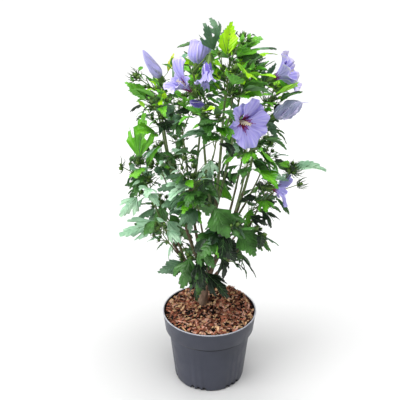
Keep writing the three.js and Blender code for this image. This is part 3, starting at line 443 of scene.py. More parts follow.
# Trunk and boughs: one short trunk with flared roots stands in the mulch and forks into stems that rise and
# fork again. The bark is thin and streaked, grey-brown below and olive above, with rings where leaves stood.
UP = np.array([0.0, 0.0, 1.0])
ASIDE = np.array([0.27, 0.96, 0.2])
WOOD = dict(least=1.9, per_reach=0.006, taper=0.52, steps=4, step=2.4, furrow=0.04)
SHOOT = dict(foot=0.95, taper=0.55, steps=4, bow=3, twig_foot=0.62, twig_tip=0.8)
ANY_PHASE = (0, 6.3)
FURROWS = dict(folds=(3, 5, 8), drift=0.8, length=(18, 40), grit=0.45, rings=(24, 34), ring=0.1,
               ring_width=1.8, ring_start=9)
BARK = dict(grey_to=210, step=80, drift=(0.21, 0.17, 0.13), tones=dict(
    grey_brown_bark=("5c4638", "86705e"), olive_brown_bark=("544b38", "7b7256"),
    olive_bark=("5a6840", "879868"),
))
BOUGHS = [
    ("leader", "trunk", 1, (362, -2, 5, 2), (116, -12, 5), 3),
    ("left_tall", "trunk", 0.92, (341, 159, 15, 8), (83, -111, 13), 3),
    ("right_tall", "trunk", 0.95, (323, 1, 17, 8), (100, 5, 16), 3),
    ("left_low", "trunk", 0.72, (222, -164, 27, 10), (90, -163, 17), 2),
    ("right_low", "trunk", 0.78, (213, -12, 29, 10), (94, -4, 38), 3),
    ("rear_left", "trunk", 0.86, (267, 116, 21, 9), (96, 134, 10), 3),
    ("rear_right", "trunk", 0.82, (251, 51, 26, 9), (89, 45, 16), 3),
    ("centre_left", "leader", 0.36, (217, -144, 7, 4), (97, -128, 16), 3),
    ("rear_tall", "leader", 0.42, (207, 51, 19, 8), (95, 6, 6), 3),
    ("front_right", "right_tall", 0.22, (204, -53, 20, 6), (93, -55, 14), 2),
    ("front_mid", "leader", 0.14, (146, -106, 27, 8), (89, -109, 20), 3),
    ("rear_upper", "rear_left", 0.62, (185, 47, 9, 4), (101, 108, 7), 3),
    ("left_rear", "left_tall", 0.4, (91, 133, 40, 8), (62, 147, 20), 2),
    ("right_rear", "right_tall", 0.42, (111, 39, 39, 8), (66, 35, 19), 2),
    ("left_side", "left_low", 0.42, (56, -111, 46, 8), (58, -156, 30), 2),
    ("right_side", "right_low", 0.36, (68, -52, 40, 8), (46, -32, 34), 2),
    ("centre_mid", "front_mid", 0.42, (63, -57, 56, 8), (58, -69, 34), 2),
    ("rear_mid", "rear_right", 0.36, (81, 114, 38, 8), (69, 101, 36), 2),
    ("left_inner", "left_tall", 0.52, (77, -68, 36, 8), (67, -118, 26), 2),
    ("front_upper", "centre_left", 0.5, (92, -76, 41, 8), (81, -78, 21), 2),
    ("top_front", "leader", 0.82, (85, -65, 26, 8), (77, -74, 16), 2),
    ("left_upper", "left_tall", 0.74, (96, -104, 28, 8), (72, -115, 20), 2),
    ("right_mid", "rear_right", 0.24, (98, 7, 39, 8), (68, 22, 27), 2),
    ("left_mid", "left_low", 0.3, (77, 132, 33, 8), (60, 147, 33), 2),
    ("skirt_front", "trunk", 0.6, (70, -123, 33, 10), (52, -115, 27), 2),
    ("skirt_right", "trunk", 0.66, (74, -36, 33, 10), (55, -48, 30), 2),
    ("skirt_left", "trunk", 0.5, (85, 158, 26, 10), (46, 147, 34), 2),
    ("skirt_rear", "trunk", 0.56, (83, 53, 33, 10), (53, 58, 35), 2),
]


def radians(degrees):
    return degrees * math.pi / 180


def towards(heading, lean):
    h, l = radians(heading), radians(lean)
    return np.array([math.sin(l) * math.cos(h), math.sin(l) * math.sin(h), math.cos(l)])


def unit(v):
    return v / math.sqrt(v @ v)


def square_to(direction, v):
    return unit(v - direction * (v @ direction))


def limb_line(foot, shape, steps):
    """A limb reaches that far in that direction, and straightens up by the bow on its way."""
    reach, heading, lean, bow = shape
    leans = [lean + bow * (1 - (2 * (i + 0.5)) / steps) for i in range(steps)]
    along = sum(math.cos(radians(a - lean)) for a in leans)
    line = [np.array(foot, float)]
    for a in leans:
        line.append(line[-1] + towards(heading, a) * (reach / along))
    return np.array(line)


def segment_at(line, share):
    return min(math.floor(share * (len(line) - 1)), len(line) - 2)


def place_on(line, share):
    i = segment_at(line, share)
    return line[i] + (line[i + 1] - line[i]) * (share * (len(line) - 1) - i)


def direction_on(line, share):
    i = segment_at(line, share)
    return unit(line[i + 1] - line[i])


def spaced(line, every):
    points = []
    for a, b in zip(line, line[1:]):
        count = max(1, math.floor(math.sqrt((b - a) @ (b - a)) / every))
        points += [a + (b - a) * (j / count) for j in range(count)]
    return np.array(points + [line[-1]])


def smooth_line(line, every):
    """A curve through the line's points, in steps of about that length."""
    line = np.asarray(line, float)
    ends = np.vstack([2 * line[0] - line[1], line, 2 * line[-1] - line[-2]])
    points = []
    for k in range(len(line) - 1):
        p0, p1, p2, p3 = ends[k:k + 4]
        count = max(2, int(np.linalg.norm(p2 - p1) / every))
        for t in np.arange(count)[:, None] / count:
            points.append(0.5 * (2 * p1 + (p2 - p0) * t + (2 * p0 - 5 * p1 + 4 * p2 - p3) * t ** 2
                                 + (3 * p1 - p0 - 3 * p2 + p3) * t ** 3))
    return np.vstack(points + [line[-1]])


def skin_over(rings, low, high):
    """A closed skin over rings of points, drawn together at a point at each end."""
    n, m = rings.shape[:2]
    i = np.arange(m)
    j = (i + 1) % m
    k = np.arange(n - 1)[:, None] * m
    faces = np.vstack([
        np.stack([k + i, k + j, k + m + j], 2).reshape(-1, 3),
        np.stack([k + i, k + m + j, k + m + i], 2).reshape(-1, 3),
        np.stack([j, i, np.full(m, n * m)], 1),
        np.stack([(n - 1) * m + i, (n - 1) * m + j, np.full(m, n * m + 1)], 1),
    ])
    return np.vstack([rings.reshape(-1, 3), low, high]), faces


def tube(line, radii, sides, lumps=1.0):
    """A closed round stem along a line. Lumps are its relief, as shares of the radius at each point."""
    ahead = np.gradient(line, axis=0)
    ahead /= np.linalg.norm(ahead, axis=1)[:, None]
    across = np.array([square_to(a, ASIDE) for a in ahead])
    other = np.cross(ahead, across)
    a = angles_round(sides)
    out = across[:, None] * np.cos(a)[:, None] + other[:, None] * np.sin(a)[:, None]
    size = np.asarray(radii, float)[:, None] * lumps
    points, faces = skin_over(line[:, None] + out * size[..., None], line[0], line[-1])
    run = np.concatenate([[0], np.cumsum(np.linalg.norm(np.diff(line, axis=0), axis=1))])
    grain = np.stack(np.broadcast_arrays(np.cos(a) * 3, np.sin(a) * 3, run[:, None]), 2).reshape(-1, 3)
    return points, faces, np.vstack([grain, [[0, 0, 0], [0, 0, run[-1]]]])


def joined(parts):
    """Joins parts into one mesh. Each has points, faces, grain and perhaps each face's finish."""
    first = np.cumsum([0] + [len(part[0]) for part in parts[:-1]])
    points, _, *rest = [np.concatenate(kind) for kind in zip(*parts)]
    return points, np.vstack([part[1] + n for part, n in zip(parts, first)]), *rest


def add_joined(name, parts, finishes, slot_name, stands_for, sharp=60):
    points, faces, *rest = joined(parts)
    add_piece(name, points, faces, finishes, slot_name, stands_for, *rest, sharp=sharp)


def streaked(name, low_tone, high_tone, roughness):
    """Bark or rind, streaked along the stem."""
    return mottled(name, colours(low_tone, high_tone), 0.3, (roughness, roughness - 0.08, roughness + 0.08),
                   True, (0.6, 5, (1, 1, 0.12)), (0.4, 2), (1.4, 4, (1, 1, 0.3)), (0.4, 0.7))


def bark_lumps(line, sides, seed, depth):
    """Furrows that run along the wood, and a raised ring every few centimetres where a leaf stood."""
    rng = np.random.default_rng(seed)
    run = np.arange(len(line))[:, None] * np.linalg.norm(line[1] - line[0])
    lumps = np.ones((len(line), sides))
    for folds in FURROWS["folds"]:
        start = rng.uniform(*ANY_PHASE)
        wave = np.sin(run / rng.uniform(*FURROWS["length"]) + rng.uniform(*ANY_PHASE))
        drift = start + FURROWS["drift"] * wave
        lumps += depth / math.sqrt(folds) * np.sin(folds * angles_round(sides) + drift)
    lumps += rng.normal(0, depth * FURROWS["grit"], lumps.shape)
    every = rng.uniform(*FURROWS["rings"])
    from_ring = (run + FURROWS["ring_start"]) % every - every / 2
    lumps += FURROWS["ring"] * np.exp(-(from_ring / FURROWS["ring_width"]) ** 2)
    return lumps


limbs = {"trunk": limb_line(TRUNK["foot"], TRUNK["line"], TRUNK["steps"])}
shoots = []
for shoot_key, (name, on, at, bough, shoot, twigs) in enumerate(BOUGHS):
    limbs[name] = limb_line(place_on(limbs[on], at), bough, WOOD["steps"])
    shoot_line = limb_line(limbs[name][-1], (*shoot, SHOOT["bow"]), SHOOT["steps"])
    shoots.append(dict(key=shoot_key, name=name, line=shoot_line, reach=shoot[0], twig_count=twigs,
                       bough_reach=bough[0], leaves=[], twigs=[], twiglets=[], blooms=[]))


def make_trunk():
    line = smooth_line(limbs["trunk"], TRUNK["step"])
    down = line[0] - direction_on(line, 0) * TRUNK["below"]
    line = np.vstack([[down + (line[0] - down) * t for t in (0, 0.33, 0.66)], line])
    height = np.maximum(0, line[:, 2] - TRUNK["foot"][2])
    share = height / TRUNK["line"][0]
    radii = TRUNK["radius"] + (TRUNK["top"] - TRUNK["radius"]) * share
    lumps = bark_lumps(line, TRUNK["sides"], 5, TRUNK["furrow"])
    a = angles_round(TRUNK["sides"])
    roots = 1 + sum(size * np.cos(count * a + turn) for count, size, turn in TRUNK["roots"])
    flare = TRUNK["flare"] * np.exp(-height / TRUNK["flare_height"])
    lumps += (flare / radii)[:, None] * roots
    close = np.clip((share - TRUNK["closes_from"]) / (1 - TRUNK["closes_from"]), 0, 1)
    return tube(line, radii * np.sqrt(1 - TRUNK["closes_by"] * close ** 2), TRUNK["sides"], lumps)


def make_bough(shoot):
    whole = smooth_line(np.vstack([limbs[shoot["name"]], shoot["line"][1:]]), WOOD["step"])
    join = np.argmin(np.linalg.norm(whole - shoot["line"][0], axis=1))
    foot = WOOD["least"] + WOOD["per_reach"] * shoot["bough_reach"]
    shoot["tip_radius"] = foot * WOOD["taper"]
    shoot["curve"] = whole[join:]
    line = whole[:join + 1]
    share = np.linspace(0, 1, len(line))
    run = share * shoot["bough_reach"]
    radii = foot + (shoot["tip_radius"] - foot) * share
    radii += TRUNK["collar"] * foot * np.exp(-run / TRUNK["collar_height"])
    sides = 14 if foot > 3 else 12
    return tube(line, radii, sides, bark_lumps(line, sides, shoot["key"], WOOD["furrow"]))


points, faces, grain = joined([make_trunk()] + [make_bough(shoot) for shoot in shoots])
age = (points[faces][..., 2].mean(1) - BARK["grey_to"]) / BARK["step"]
age += 0.5 * np.sin(points[faces].mean(1) @ BARK["drift"])
barks = [streaked(name, *tones, 0.72) for name, tones in BARK["tones"].items()]
add_piece("trunk_and_boughs", points, faces, barks, "bark",
          ["trunk"] + ["bough_" + shoot["name"] for shoot in shoots],
          grain, np.clip(age, 0, len(barks) - 1).astype(int), sharp=70)

# How the leaves stand: each shoot carries leaves in turn round its stem, and side twigs with leaves of
# their own. Some leaves, the blooms and the openings that show sky have places of their own in the crown. A
# leaf that would meet wood, another leaf or an opening turns, shrinks or isn't grown.
# A placed leaf's pale or grey tint is a painted sheen, and its deep tint is partly painted shade.
LEAVES_PLACED = [
    ("leader", 0.96, (32, -154, 88), (50, -147, 22), 10, 0.78, "grey", "cut"),
    ("leader", 1.0, (30, 133, 64), (37, 139, 35), -20, 0.8, "grey", "cut"),
    ("leader", 0.88, (19, -108, 82), (56, 44, 9), 0, 0.72, "lime", "broad"),
    ("left_tall", 1.0, (28, 14, 77), (60, 17, 35), 20, 0.42, "pale"),
    ("left_tall", 1.0, (36, -41, 48), (34, 20, 20), 0, 0.5, "yellow"),
    ("left_tall", 0.68, (24, -175, 96), (45, -166, 48), 0, 0.6, "fresh"),
    ("right_tall", 0.88, (29, 140, 68), (46, 19, 41), -25, 0.62, "grey"),
    ("left_low", 1.0, (15, -83, 33), (82, 41, 9), 0, 0.72, "fresh", "cut"),
    ("left_low", 0.86, (12, -15, 76), (48, 5, 28), 30, 0.5, "fresh"),
    ("left_low", 0.4, (33, -124, 102), (47, -150, 130), 0, 0.9, "pale", "cut"),
    ("right_low", 0.96, (12, 98, 83), (72, 5, 85), 25, 0.5, "pale"),
    ("right_low", 0.2, (56, -120, 21), (48, -10, 85), 10, 0.7, "pale"),
    ("right_low", 0.0, (20, -112, 40), (24, -15, 108), 0, 0.8, "fresh"),
    ("rear_tall", 1.0, (30, -61, 85), (45, 0, 73), 30, 0.5, "lime"),
    ("front_mid", 1.0, (44, 33, 55), (36, -96, 153), 0, 1.0, "pale", "cut"),
    ("left_side", 0.98, (11, -171, 14), (72, -163, 104), 20, 0.7, "pale"),
    ("right_side", 1.0, (31, 111, 49), (41, 0, 121), -20, 0.6, "deep"),
    ("right_side", 1.0, (34, -146, 71), (55, -38, 140), 5, 1.0, "mid", "broad"),
    ("centre_mid", 1.0, (39, -151, 39), (58, -39, 147), 0, 1.05, "mid", "broad"),
    ("centre_mid", 0.0, (44, -169, 111), (50, -36, 132), -5, 0.95, "mid", "cut"),
    ("left_inner", 0.24, (27, -67, 86), (61, -164, 102), 10, 0.75, "grey"),
    ("skirt_front", 1.0, (15, -80, 71), (64, -130, 156), 0, 0.95, "mid", "cut"),
    ("skirt_front", 0.6, (15, 158, 93), (55, -169, 111), 15, 0.62, "grey"),
    ("skirt_front", 0.18, (16, -46, 102), (55, -106, 158), 0, 0.7, "deep"),
    ("skirt_right", 1.0, (36, -154, 37), (50, -28, 143), -15, 0.95, "deep"),
    ("skirt_right", 0.82, (22, -137, 91), (43, -62, 168), 40, 0.8, "deep"),
    ("skirt_right", 0.34, (43, -161, 114), (67, -19, 134), 10, 0.7, "deep"),
]
BLOOMS = [
    ("left_tall", 1.0, (13, -47, 34), (-164, 30), "rolled", 59, "first_rolled"),
    ("centre_left", 0.94, (30, 78, 67), (60, 23), "half", 48, "globe"),
    ("centre_left", 0.68, (23, -106, 90), (-146, 49), "half", 56, "pale_funnel"),
    ("centre_left", 1.0, (36, -20, 54), (-104, 148), "half", 46, "hanging"),
    ("centre_left", 0.3, (19, -58, 79), (-152, 63), "bud", 33, "violet_bud"),
    ("front_right", 1.0, (34, 175, 60), (-51, 85), "open", 50, "open"),
    ("right_tall", 1.0, (19, -113, 32), (-7, 65), "half", 56, "side_funnel"),
    ("right_tall", 0.48, (26, -57, 86), (-10, 60), "rolled", 54, "wilted"),
    ("right_low", 0.4, (24, -110, 42), (13, 102), "half", 44, "low_funnel"),
]
BEST_EYE = np.array([0.0, -1300.0, 1002.0])
BEHIND = 1.25
OPENINGS = [
    (-26, 700, 11), (-7, 736, 8), (112, 672, 10), (-117, 624, 7), (-53, 639, 5), (92, 591, 7), (113, 592, 7),
    (-115, 580, 11), (-104, 562, 9), (-153, 539, 8), (-34, 554, 11), (131, 556, 6), (-87, 511, 7),
    (-27, 509, 9), (2, 509, 9), (18, 496, 7), (95, 488, 8), (116, 494, 8), (138, 494, 10), (-42, 459, 7),
    (76, 448, 8), (165, 454, 7), (-108, 428, 8), (-160, 456, 6), (46, 389, 7), (163, 405, 6), (132, 380, 10),
    (103, 334, 6), (-90, 310, 10), (67, 292, 6), (-81, 266, 8), (46, 254, 6), (64, 240, 9), (-72, 216, 8),
    (39, 221, 8), (54, 588, 6), (34, 572, 6), (65, 726, 7), (-44, 682, 6),
]
FREE_OF_LEAVES = dict(
    open=[(0.2, 0.6), (0.5, 0.9), (0.8, 0.8), (1.3, 0.6), (1.9, 0.5)],
    half=[(0.15, 0.4), (0.5, 0.48), (0.85, 0.6)],
    rolled=[(0.15, 0.26), (0.5, 0.26), (0.85, 0.26)], bud=[(0.15, 0.26), (0.5, 0.26), (0.85, 0.26)],
)
CROWN_MIDDLE = (6, 8)
CROWN_FORM = [(200, 76), (262, 98), (300, 116), (335, 146), (370, 164),
              (450, 168), (520, 158), (600, 160), (660, 148), (745, 60)]
STIR = dict(start=0x9E3779B9, key=0x7F4A7C15, first=0x85EBCA6B, second=0xC2B2AE35, word=0xFFFFFFFF)
LEAF_OUTLINE = np.array([(0.5, 0.44), (0.66, 0.22), (1, 0), (0.66, -0.22), (0.5, -0.44)])
LEAF_DROP = np.array([-0.07, -0.035, -0.06, -0.035, -0.07])
LEAF_INNER = np.array([(0.45, 0), (0.8, 0.08), (0.8, -0.08), (0.25, 0)])
COVER = dict(middle=0.5, along=0.52, aside=0.46, margin=0.06, more=0.15, around=5)
SPACE = dict(leaf=2, fellow=2, twig=5, wood=6, shoot=2.5, placed=4, pot_top=166, pot_radius=112, low=150)
LEAF = dict(low=250, range=450, length=73, shrink=20, size=(0.82, 1.12), width=(0.85, 1.1), narrow=0.1,
            stalk=(13, 28), droop=-52, lift=66, rise=(-80, 82), sway=18, more_sway=26, roll=36, swing=15,
            turns=(0, 35, -35, 70, -70, 120, 180, -120, 20, -50, 95, -150, 150),
            sizes=(1, 1, 1, 0.95, 0.95, 0.9, 0.88, 0.84, 0.8, 0.76, 0.74, 0.7, 0.66),
            turn=137.5, spacing=10, fewest=4, first=0.4, young_from=0.9, fold=-0.3, root=4, stalk_spacing=10)
YOUNG = dict(size=0.55, stalk=0.42, lift=26)
BLADE_WAY = dict(side=0.85, outside=0.5)
STALK_WAY = dict(stem=0.5, side=0.8, blade=0.4)
DRAW = dict(stalk=3, rise=5, roll=7, size=9, swing=11, width=13, twig_turn=55, twig=60, tint=71, form=72,
            start=99, fine_size=2, fine_length=1)
TWIG = dict(turn=150, retry=90, tries=4, length=(0.4, 0.62), leaves=4, leaf_turn=77, first=0.5,
            spare=0.3, out=0.8, away=0.35, stem=0.7, rise=0.3, key=1000, keys=20)
LIMB_SPACING = 6
ROOT_MIDDLE = np.array([-8.0, 8.0, 0.0])
BEST_SIDE = towards(-90, 52)


def chance(*keys):
    """A number from 0 to 1 that depends only on the whole numbers it is given."""
    h, word = STIR["start"], STIR["word"]
    for key in keys:
        h = (h ^ ((key + STIR["key"]) & word)) * STIR["first"] & word
        h ^= h >> 13
        h = h * STIR["second"] & word
        h ^= h >> 16
    return h / (word + 1)


def between(low, high, *keys):
    return low + (high - low) * chance(*keys)


def out_of(stem, angle):
    """The way that points square out of a stem, at that angle round it."""
    side = square_to(stem, ASIDE)
    return side * math.cos(angle) + np.cross(stem, side) * math.sin(angle)


def rolled(face, direction, roll):
    return face * math.cos(roll) + np.cross(face, direction) * math.sin(roll)


def on_leaf(leaf, u, v, w=0.0):
    """Places on a blade: u along it, v across it and w out of its upper face, in leaf lengths."""
    u, v, w = (np.asarray(n, float)[..., None] * leaf["length"] for n in (u, v, w))
    return leaf["foot"] + leaf["direction"] * u + leaf["across"] * (v * leaf["width"]) + leaf["normal"] * w


def make_leaf(node, foot, direction, face, length, width):
    normal = square_to(direction, face)
    leaf = dict(node=node, foot=foot, direction=direction, normal=normal, across=np.cross(normal, direction),
                length=length, width=width, young=False)
    outline = on_leaf(leaf, LEAF_OUTLINE[:, 0], LEAF_OUTLINE[:, 1], LEAF_DROP)
    inner = on_leaf(leaf, LEAF_INNER[:, 0], LEAF_INNER[:, 1])
    stalk = spaced(np.array([node, foot]), LEAF["stalk_spacing"])[1:]
    leaf["places"] = np.vstack([outline, inner, stalk])
    root = node + unit(foot - node) * LEAF["root"]
    leaf["starts"] = np.vstack([foot, outline, foot, root])
    leaf["ends"] = np.vstack([outline, foot, on_leaf(leaf, 1, 0), foot])
    leaf["middle"] = on_leaf(leaf, 0.5, 0)
    out = leaf["places"] - leaf["middle"]
    farthest = math.sqrt(np.einsum("ij,ij->i", out, out).max())
    leaf["reach"] = farthest + COVER["more"] * length + COVER["around"]
    return leaf


def near_leaf(leaf, q, clear, margin=COVER["margin"]):
    """Which of the places lie over the blade, and nearer to its plane than that."""
    d = q - leaf["foot"]
    u = d @ leaf["direction"] / leaf["length"]
    v = d @ leaf["across"] / (leaf["length"] * leaf["width"])
    out = ((u - COVER["middle"]) / (COVER["along"] + margin)) ** 2 + (v / COVER["aside"]) ** 2
    return (out < 1) & (np.abs(d @ leaf["normal"]) < clear)


def crosses_leaf(leaf, starts, ends):
    """Whether any of these straight lines passes through the blade."""
    low = (starts - leaf["foot"]) @ leaf["normal"]
    high = (ends - leaf["foot"]) @ leaf["normal"]
    through = low * high <= 0
    if not through.any():
        return False
    starts, ends, low, high = starts[through], ends[through], low[through], high[through]
    with np.errstate(invalid="ignore", divide="ignore"):
        meets = starts + (ends - starts) * (low / (low - high))[:, None]
        return bool(near_leaf(leaf, meets, np.inf).any())


def leaves_meet(a, b, clear):
    apart = a["middle"] - b["middle"]
    if apart @ apart > (a["reach"] + b["reach"]) ** 2:
        return False
    if near_leaf(b, a["places"], clear).any() or near_leaf(a, b["places"], clear).any():
        return True
    return crosses_leaf(b, a["starts"], a["ends"]) or crosses_leaf(a, b["starts"], b["ends"])


shoot_starts = np.array([shoot["line"][:-1] for shoot in shoots])
shoot_steps = np.array([np.diff(shoot["line"], axis=0) for shoot in shoots])
wood_places = np.vstack([spaced(line, LIMB_SPACING) for line in limbs.values()])
free_spheres = []
for shoot in shoots:
    shoot["places"] = spaced(shoot["line"], LIMB_SPACING)


def own_space(shoot, places, margin):
    """Whether places lie nearer to this shoot's line than to any other shoot's."""
    w = places[:, None, None] - shoot_starts
    d = shoot_steps
    t = np.clip(np.einsum("pnsi,nsi->pns", w, d) / np.einsum("nsi,nsi->ns", d, d), 0, 1)
    w = w - t[..., None] * d
    nearest = np.sqrt(np.einsum("pnsi,pnsi->pns", w, w)).min(2)
    mine = nearest[:, shoot["key"]] + margin
    nearest[:, shoot["key"]] = np.inf
    return bool((nearest.min(1) > mine).all())


def inside_crown(places):
    heights, radii = np.array(CROWN_FORM, float).T
    allowed = np.interp(places[:, 2], heights, radii)
    return bool((np.hypot(places[:, 0] - CROWN_MIDDLE[0], places[:, 1] - CROWN_MIDDLE[1]) <= allowed).all())


def over_pot(places):
    low = places[:, 2] < SPACE["low"]
    near = (places[:, 2] < SPACE["pot_top"]) & (np.hypot(places[:, 0], places[:, 1]) < SPACE["pot_radius"])
    return bool((low | near).any())


REACH = np.array([list(corner) for corner in cad_box]) / MM


def past_reach(places):
    return bool(((places < REACH[0]) | (places > REACH[1])).any())


def no_room(shoot, places):
    """Whether places lie at the pot, past the crown, in another shoot's space or where a bloom stands."""
    if over_pot(places) or not inside_crown(places) or not own_space(shoot, places, SPACE["leaf"]):
        return True
    for centre, radius in free_spheres:
        out = places - centre
        if (np.einsum("ij,ij->i", out, out) < radius * radius).any():
            return True
    return False


placed_leaves = []
sight_ends = np.array([BEST_EYE + ((across + x, 0, height + z) - BEST_EYE) * BEHIND
                       for across, height, radius in OPENINGS
                       for x, z in ((0, 0), (radius, 0), (0, radius), (-radius, 0), (0, -radius))])
sight_starts = np.tile(BEST_EYE, (len(sight_ends), 1))


def leaf_fits(shoot, leaf, fine):
    if unit(leaf["foot"] - leaf["node"]) @ leaf["direction"] < LEAF["fold"]:
        return False
    places = leaf["places"]
    if no_room(shoot, places) or crosses_leaf(leaf, sight_starts, sight_ends):
        return False
    if fine and past_reach(places):
        return False
    if near_leaf(leaf, wood_places, SPACE["wood"]).any():
        return False
    if near_leaf(leaf, shoot["places"], SPACE["shoot"], 0).any():
        return False
    if any(leaves_meet(leaf, other, SPACE["placed"]) for other in placed_leaves):
        return False
    if any(leaves_meet(leaf, other, SPACE["fellow"]) for other in shoot["leaves"]):
        return False
    lines = [shoot["line"], *shoot["twigs"], *shoot["twiglets"]]
    return not any(crosses_leaf(leaf, line[:-1], line[1:]) for line in lines)


def away_from_middle(p):
    return unit((p - ROOT_MIDDLE) * (1, 1, 0))


def grow_leaf(shoot, line, share, turn, key, young, size=1.0, fine=False):
    """Turns a leaf round its stem, and shrinks it, until it fits."""
    k = shoot["key"]
    node, stem = place_on(line, share), direction_on(line, share)
    outside = away_from_middle(node)
    height = (node[2] - LEAF["low"]) / LEAF["range"]
    for attempt, (more_turn, shrunk) in enumerate(zip(LEAF["turns"], LEAF["sizes"])):
        swing = between(-LEAF["swing"], LEAF["swing"], k, key, DRAW["swing"])
        outward = out_of(stem, radians(turn + more_turn + swing))
        level = unit((outward * BLADE_WAY["side"] + outside * BLADE_WAY["outside"]) * (1, 1, 0))
        stalk = (YOUNG["stalk"] if young else 1) * between(*LEAF["stalk"], k, key, DRAW["stalk"])
        droop = LEAF["droop"] + LEAF["lift"] * height + (YOUNG["lift"] if young else 0)
        sway = LEAF["sway"] + LEAF["more_sway"] * height
        lean = droop + between(-sway, sway, k, key, DRAW["rise"], attempt)
        rise = radians(max(LEAF["rise"][0], min(LEAF["rise"][1], lean)))
        direction = level * math.cos(rise) + UP * math.sin(rise)
        way = stem * STALK_WAY["stem"] + outward * STALK_WAY["side"] + level * STALK_WAY["blade"]
        foot = node + unit(way) * stalk * size
        top = UP * math.cos(rise) - level * math.sin(rise)
        roll = radians(between(-LEAF["roll"], LEAF["roll"], k, key, DRAW["roll"], attempt))
        full = (LEAF["length"] - LEAF["shrink"] * height) * (YOUNG["size"] if young else 1)
        length = full * between(*LEAF["size"], k, key, DRAW["size"]) * shrunk * size
        width = between(*LEAF["width"], k, key, DRAW["width"]) - LEAF["narrow"] * max(0, height)
        leaf = make_leaf(node, foot, direction, rolled(top, direction, roll), length, width)
        leaf.update(young=young, key=key)
        if leaf_fits(shoot, leaf, fine):
            shoot["leaves"].append(leaf)
            return


def leaves_along(shoot, line, index, count, first_key, sizes=(1, 1), fine=False):
    """Leaves in turn along a side twig, the last one young and at its end."""
    for i in range(count):
        share, key = (i + 1) / count, first_key + i
        turn = LEAF["turn"] * i + TWIG["leaf_turn"] * index
        size = between(*sizes, shoot["key"], key, DRAW["fine_size"])
        grow_leaf(shoot, line, share, turn, key, share == 1, size, fine)


def twig_way(start, stem, turn, rule):
    """A side twig leaves its stem outward, goes along with it a little and turns up."""
    way = out_of(stem, turn) * rule["out"] + away_from_middle(start) * rule["away"]
    return unit(unit(way + stem * rule["stem"]) + UP * rule["rise"])


def grow_twig(shoot, index):
    k = shoot["key"]
    share = (index + TWIG["first"]) / (shoot["twig_count"] + TWIG["spare"])
    start, stem = place_on(shoot["line"], share), direction_on(shoot["line"], share)
    for attempt in range(TWIG["tries"]):
        turn = TWIG["turn"] * index + TWIG["retry"] * attempt
        turn = 2 * math.pi * chance(k, DRAW["twig_turn"], 0) + radians(turn)
        way = twig_way(start, stem, turn, TWIG)
        length = shoot["reach"] * between(*TWIG["length"], k, DRAW["twig"] + index)
        line = np.array([start, start + way * length])
        places = spaced(line, LIMB_SPACING)[2:]
        if any(near_leaf(leaf, places, SPACE["twig"]).any() for leaf in placed_leaves):
            continue
        if not own_space(shoot, places, SPACE["twig"]):
            continue
        free = start + way * LEAF["root"]
        if any(crosses_leaf(leaf, free[None], line[1:]) for leaf in shoot["leaves"]):
            continue
        shoot["twigs"].append(line)
        leaves_along(shoot, line, index, TWIG["leaves"], TWIG["key"] + TWIG["keys"] * index)
        return


by_name = {shoot["name"]: shoot for shoot in shoots}
for on, at, stalk, face, kind, size, role in BLOOMS:
    shoot = by_name[on]
    node = place_on(shoot["line"], at)
    throat = node + towards(stalk[1], stalk[2]) * stalk[0]
    bloom = dict(node=node, throat=throat, face=towards(*face), size=size, role=role)
    shoot["blooms"].append(bloom)
    for place, radius in FREE_OF_LEAVES[kind]:
        free_spheres.append((throat + bloom["face"] * size * place, size * radius))
for on, at, stalk, blade, roll, width, tint, *form in LEAVES_PLACED:
    shoot = by_name[on]
    node = place_on(shoot["line"], at)
    foot = node + towards(stalk[1], stalk[2]) * stalk[0]
    direction = towards(blade[1], blade[2])
    face = rolled(square_to(direction, BEST_SIDE), direction, radians(roll))
    leaf = make_leaf(node, foot, direction, face, blade[0], width)
    leaf.update(tint=tint, key=len(placed_leaves), form=form[0] if form else None)
    shoot["leaves"].append(leaf)
    placed_leaves.append(leaf)
for shoot in shoots:
    nodes_on_shoot = max(LEAF["fewest"], math.floor(shoot["reach"] / LEAF["spacing"] + 0.5))
    for i in range(nodes_on_shoot):
        share = (i + LEAF["first"]) / nodes_on_shoot
        turn = LEAF["turn"] * i + 360 * chance(shoot["key"], DRAW["start"], 0)
        grow_leaf(shoot, shoot["line"], share, turn, i, share > LEAF["young_from"])
    for t in range(shoot["twig_count"]):
        grow_twig(shoot, t)

# Finer twigs: between the leaves short side twigs stand out of the shoots and the twigs, each with a few
# small leaves and a bud at its end. They keep within the same crown, clear of the leaves that are there.
TWIGLET = dict(every=14, length=(14, 32), first=0.3, out=0.9, stem=0.6, away=0.45, rise=0.3, leaves=3,
               sizes=(0.5, 0.85), key=5000, keys=40, tries=3, retry=120, turn=50, root=2)


def twiglet_fits(shoot, line):
    free = line[0] + unit(line[1] - line[0]) * TWIGLET["root"]
    if no_room(shoot, spaced(line, LIMB_SPACING)[1:]):
        return False
    return not any(crosses_leaf(leaf, free[None], line[1:]) for leaf in shoot["leaves"])


def grow_twiglet(shoot, carrier, at, index):
    key = TWIGLET["key"] + TWIGLET["keys"] * index
    start, stem = place_on(carrier, at), direction_on(carrier, at)
    length = between(*TWIGLET["length"], shoot["key"], key, DRAW["fine_length"])
    for attempt in range(TWIGLET["tries"]):
        turn = radians(LEAF["turn"] * index + TWIGLET["retry"] * attempt + TWIGLET["turn"])
        line = np.array([start, start + twig_way(start, stem, turn, TWIGLET) * length])
        if twiglet_fits(shoot, line):
            shoot["twiglets"].append(line)
            leaves_along(shoot, line, index, TWIGLET["leaves"], key + 2, TWIGLET["sizes"], fine=True)
            return


for shoot in shoots:
    index = 0
    for carrier in [shoot["line"], *shoot["twigs"]]:
        count = int(np.linalg.norm(carrier[-1] - carrier[0]) / TWIGLET["every"])
        for i in range(count):
            grow_twiglet(shoot, carrier, (i + TWIGLET["first"]) / count, index)
            index += 1

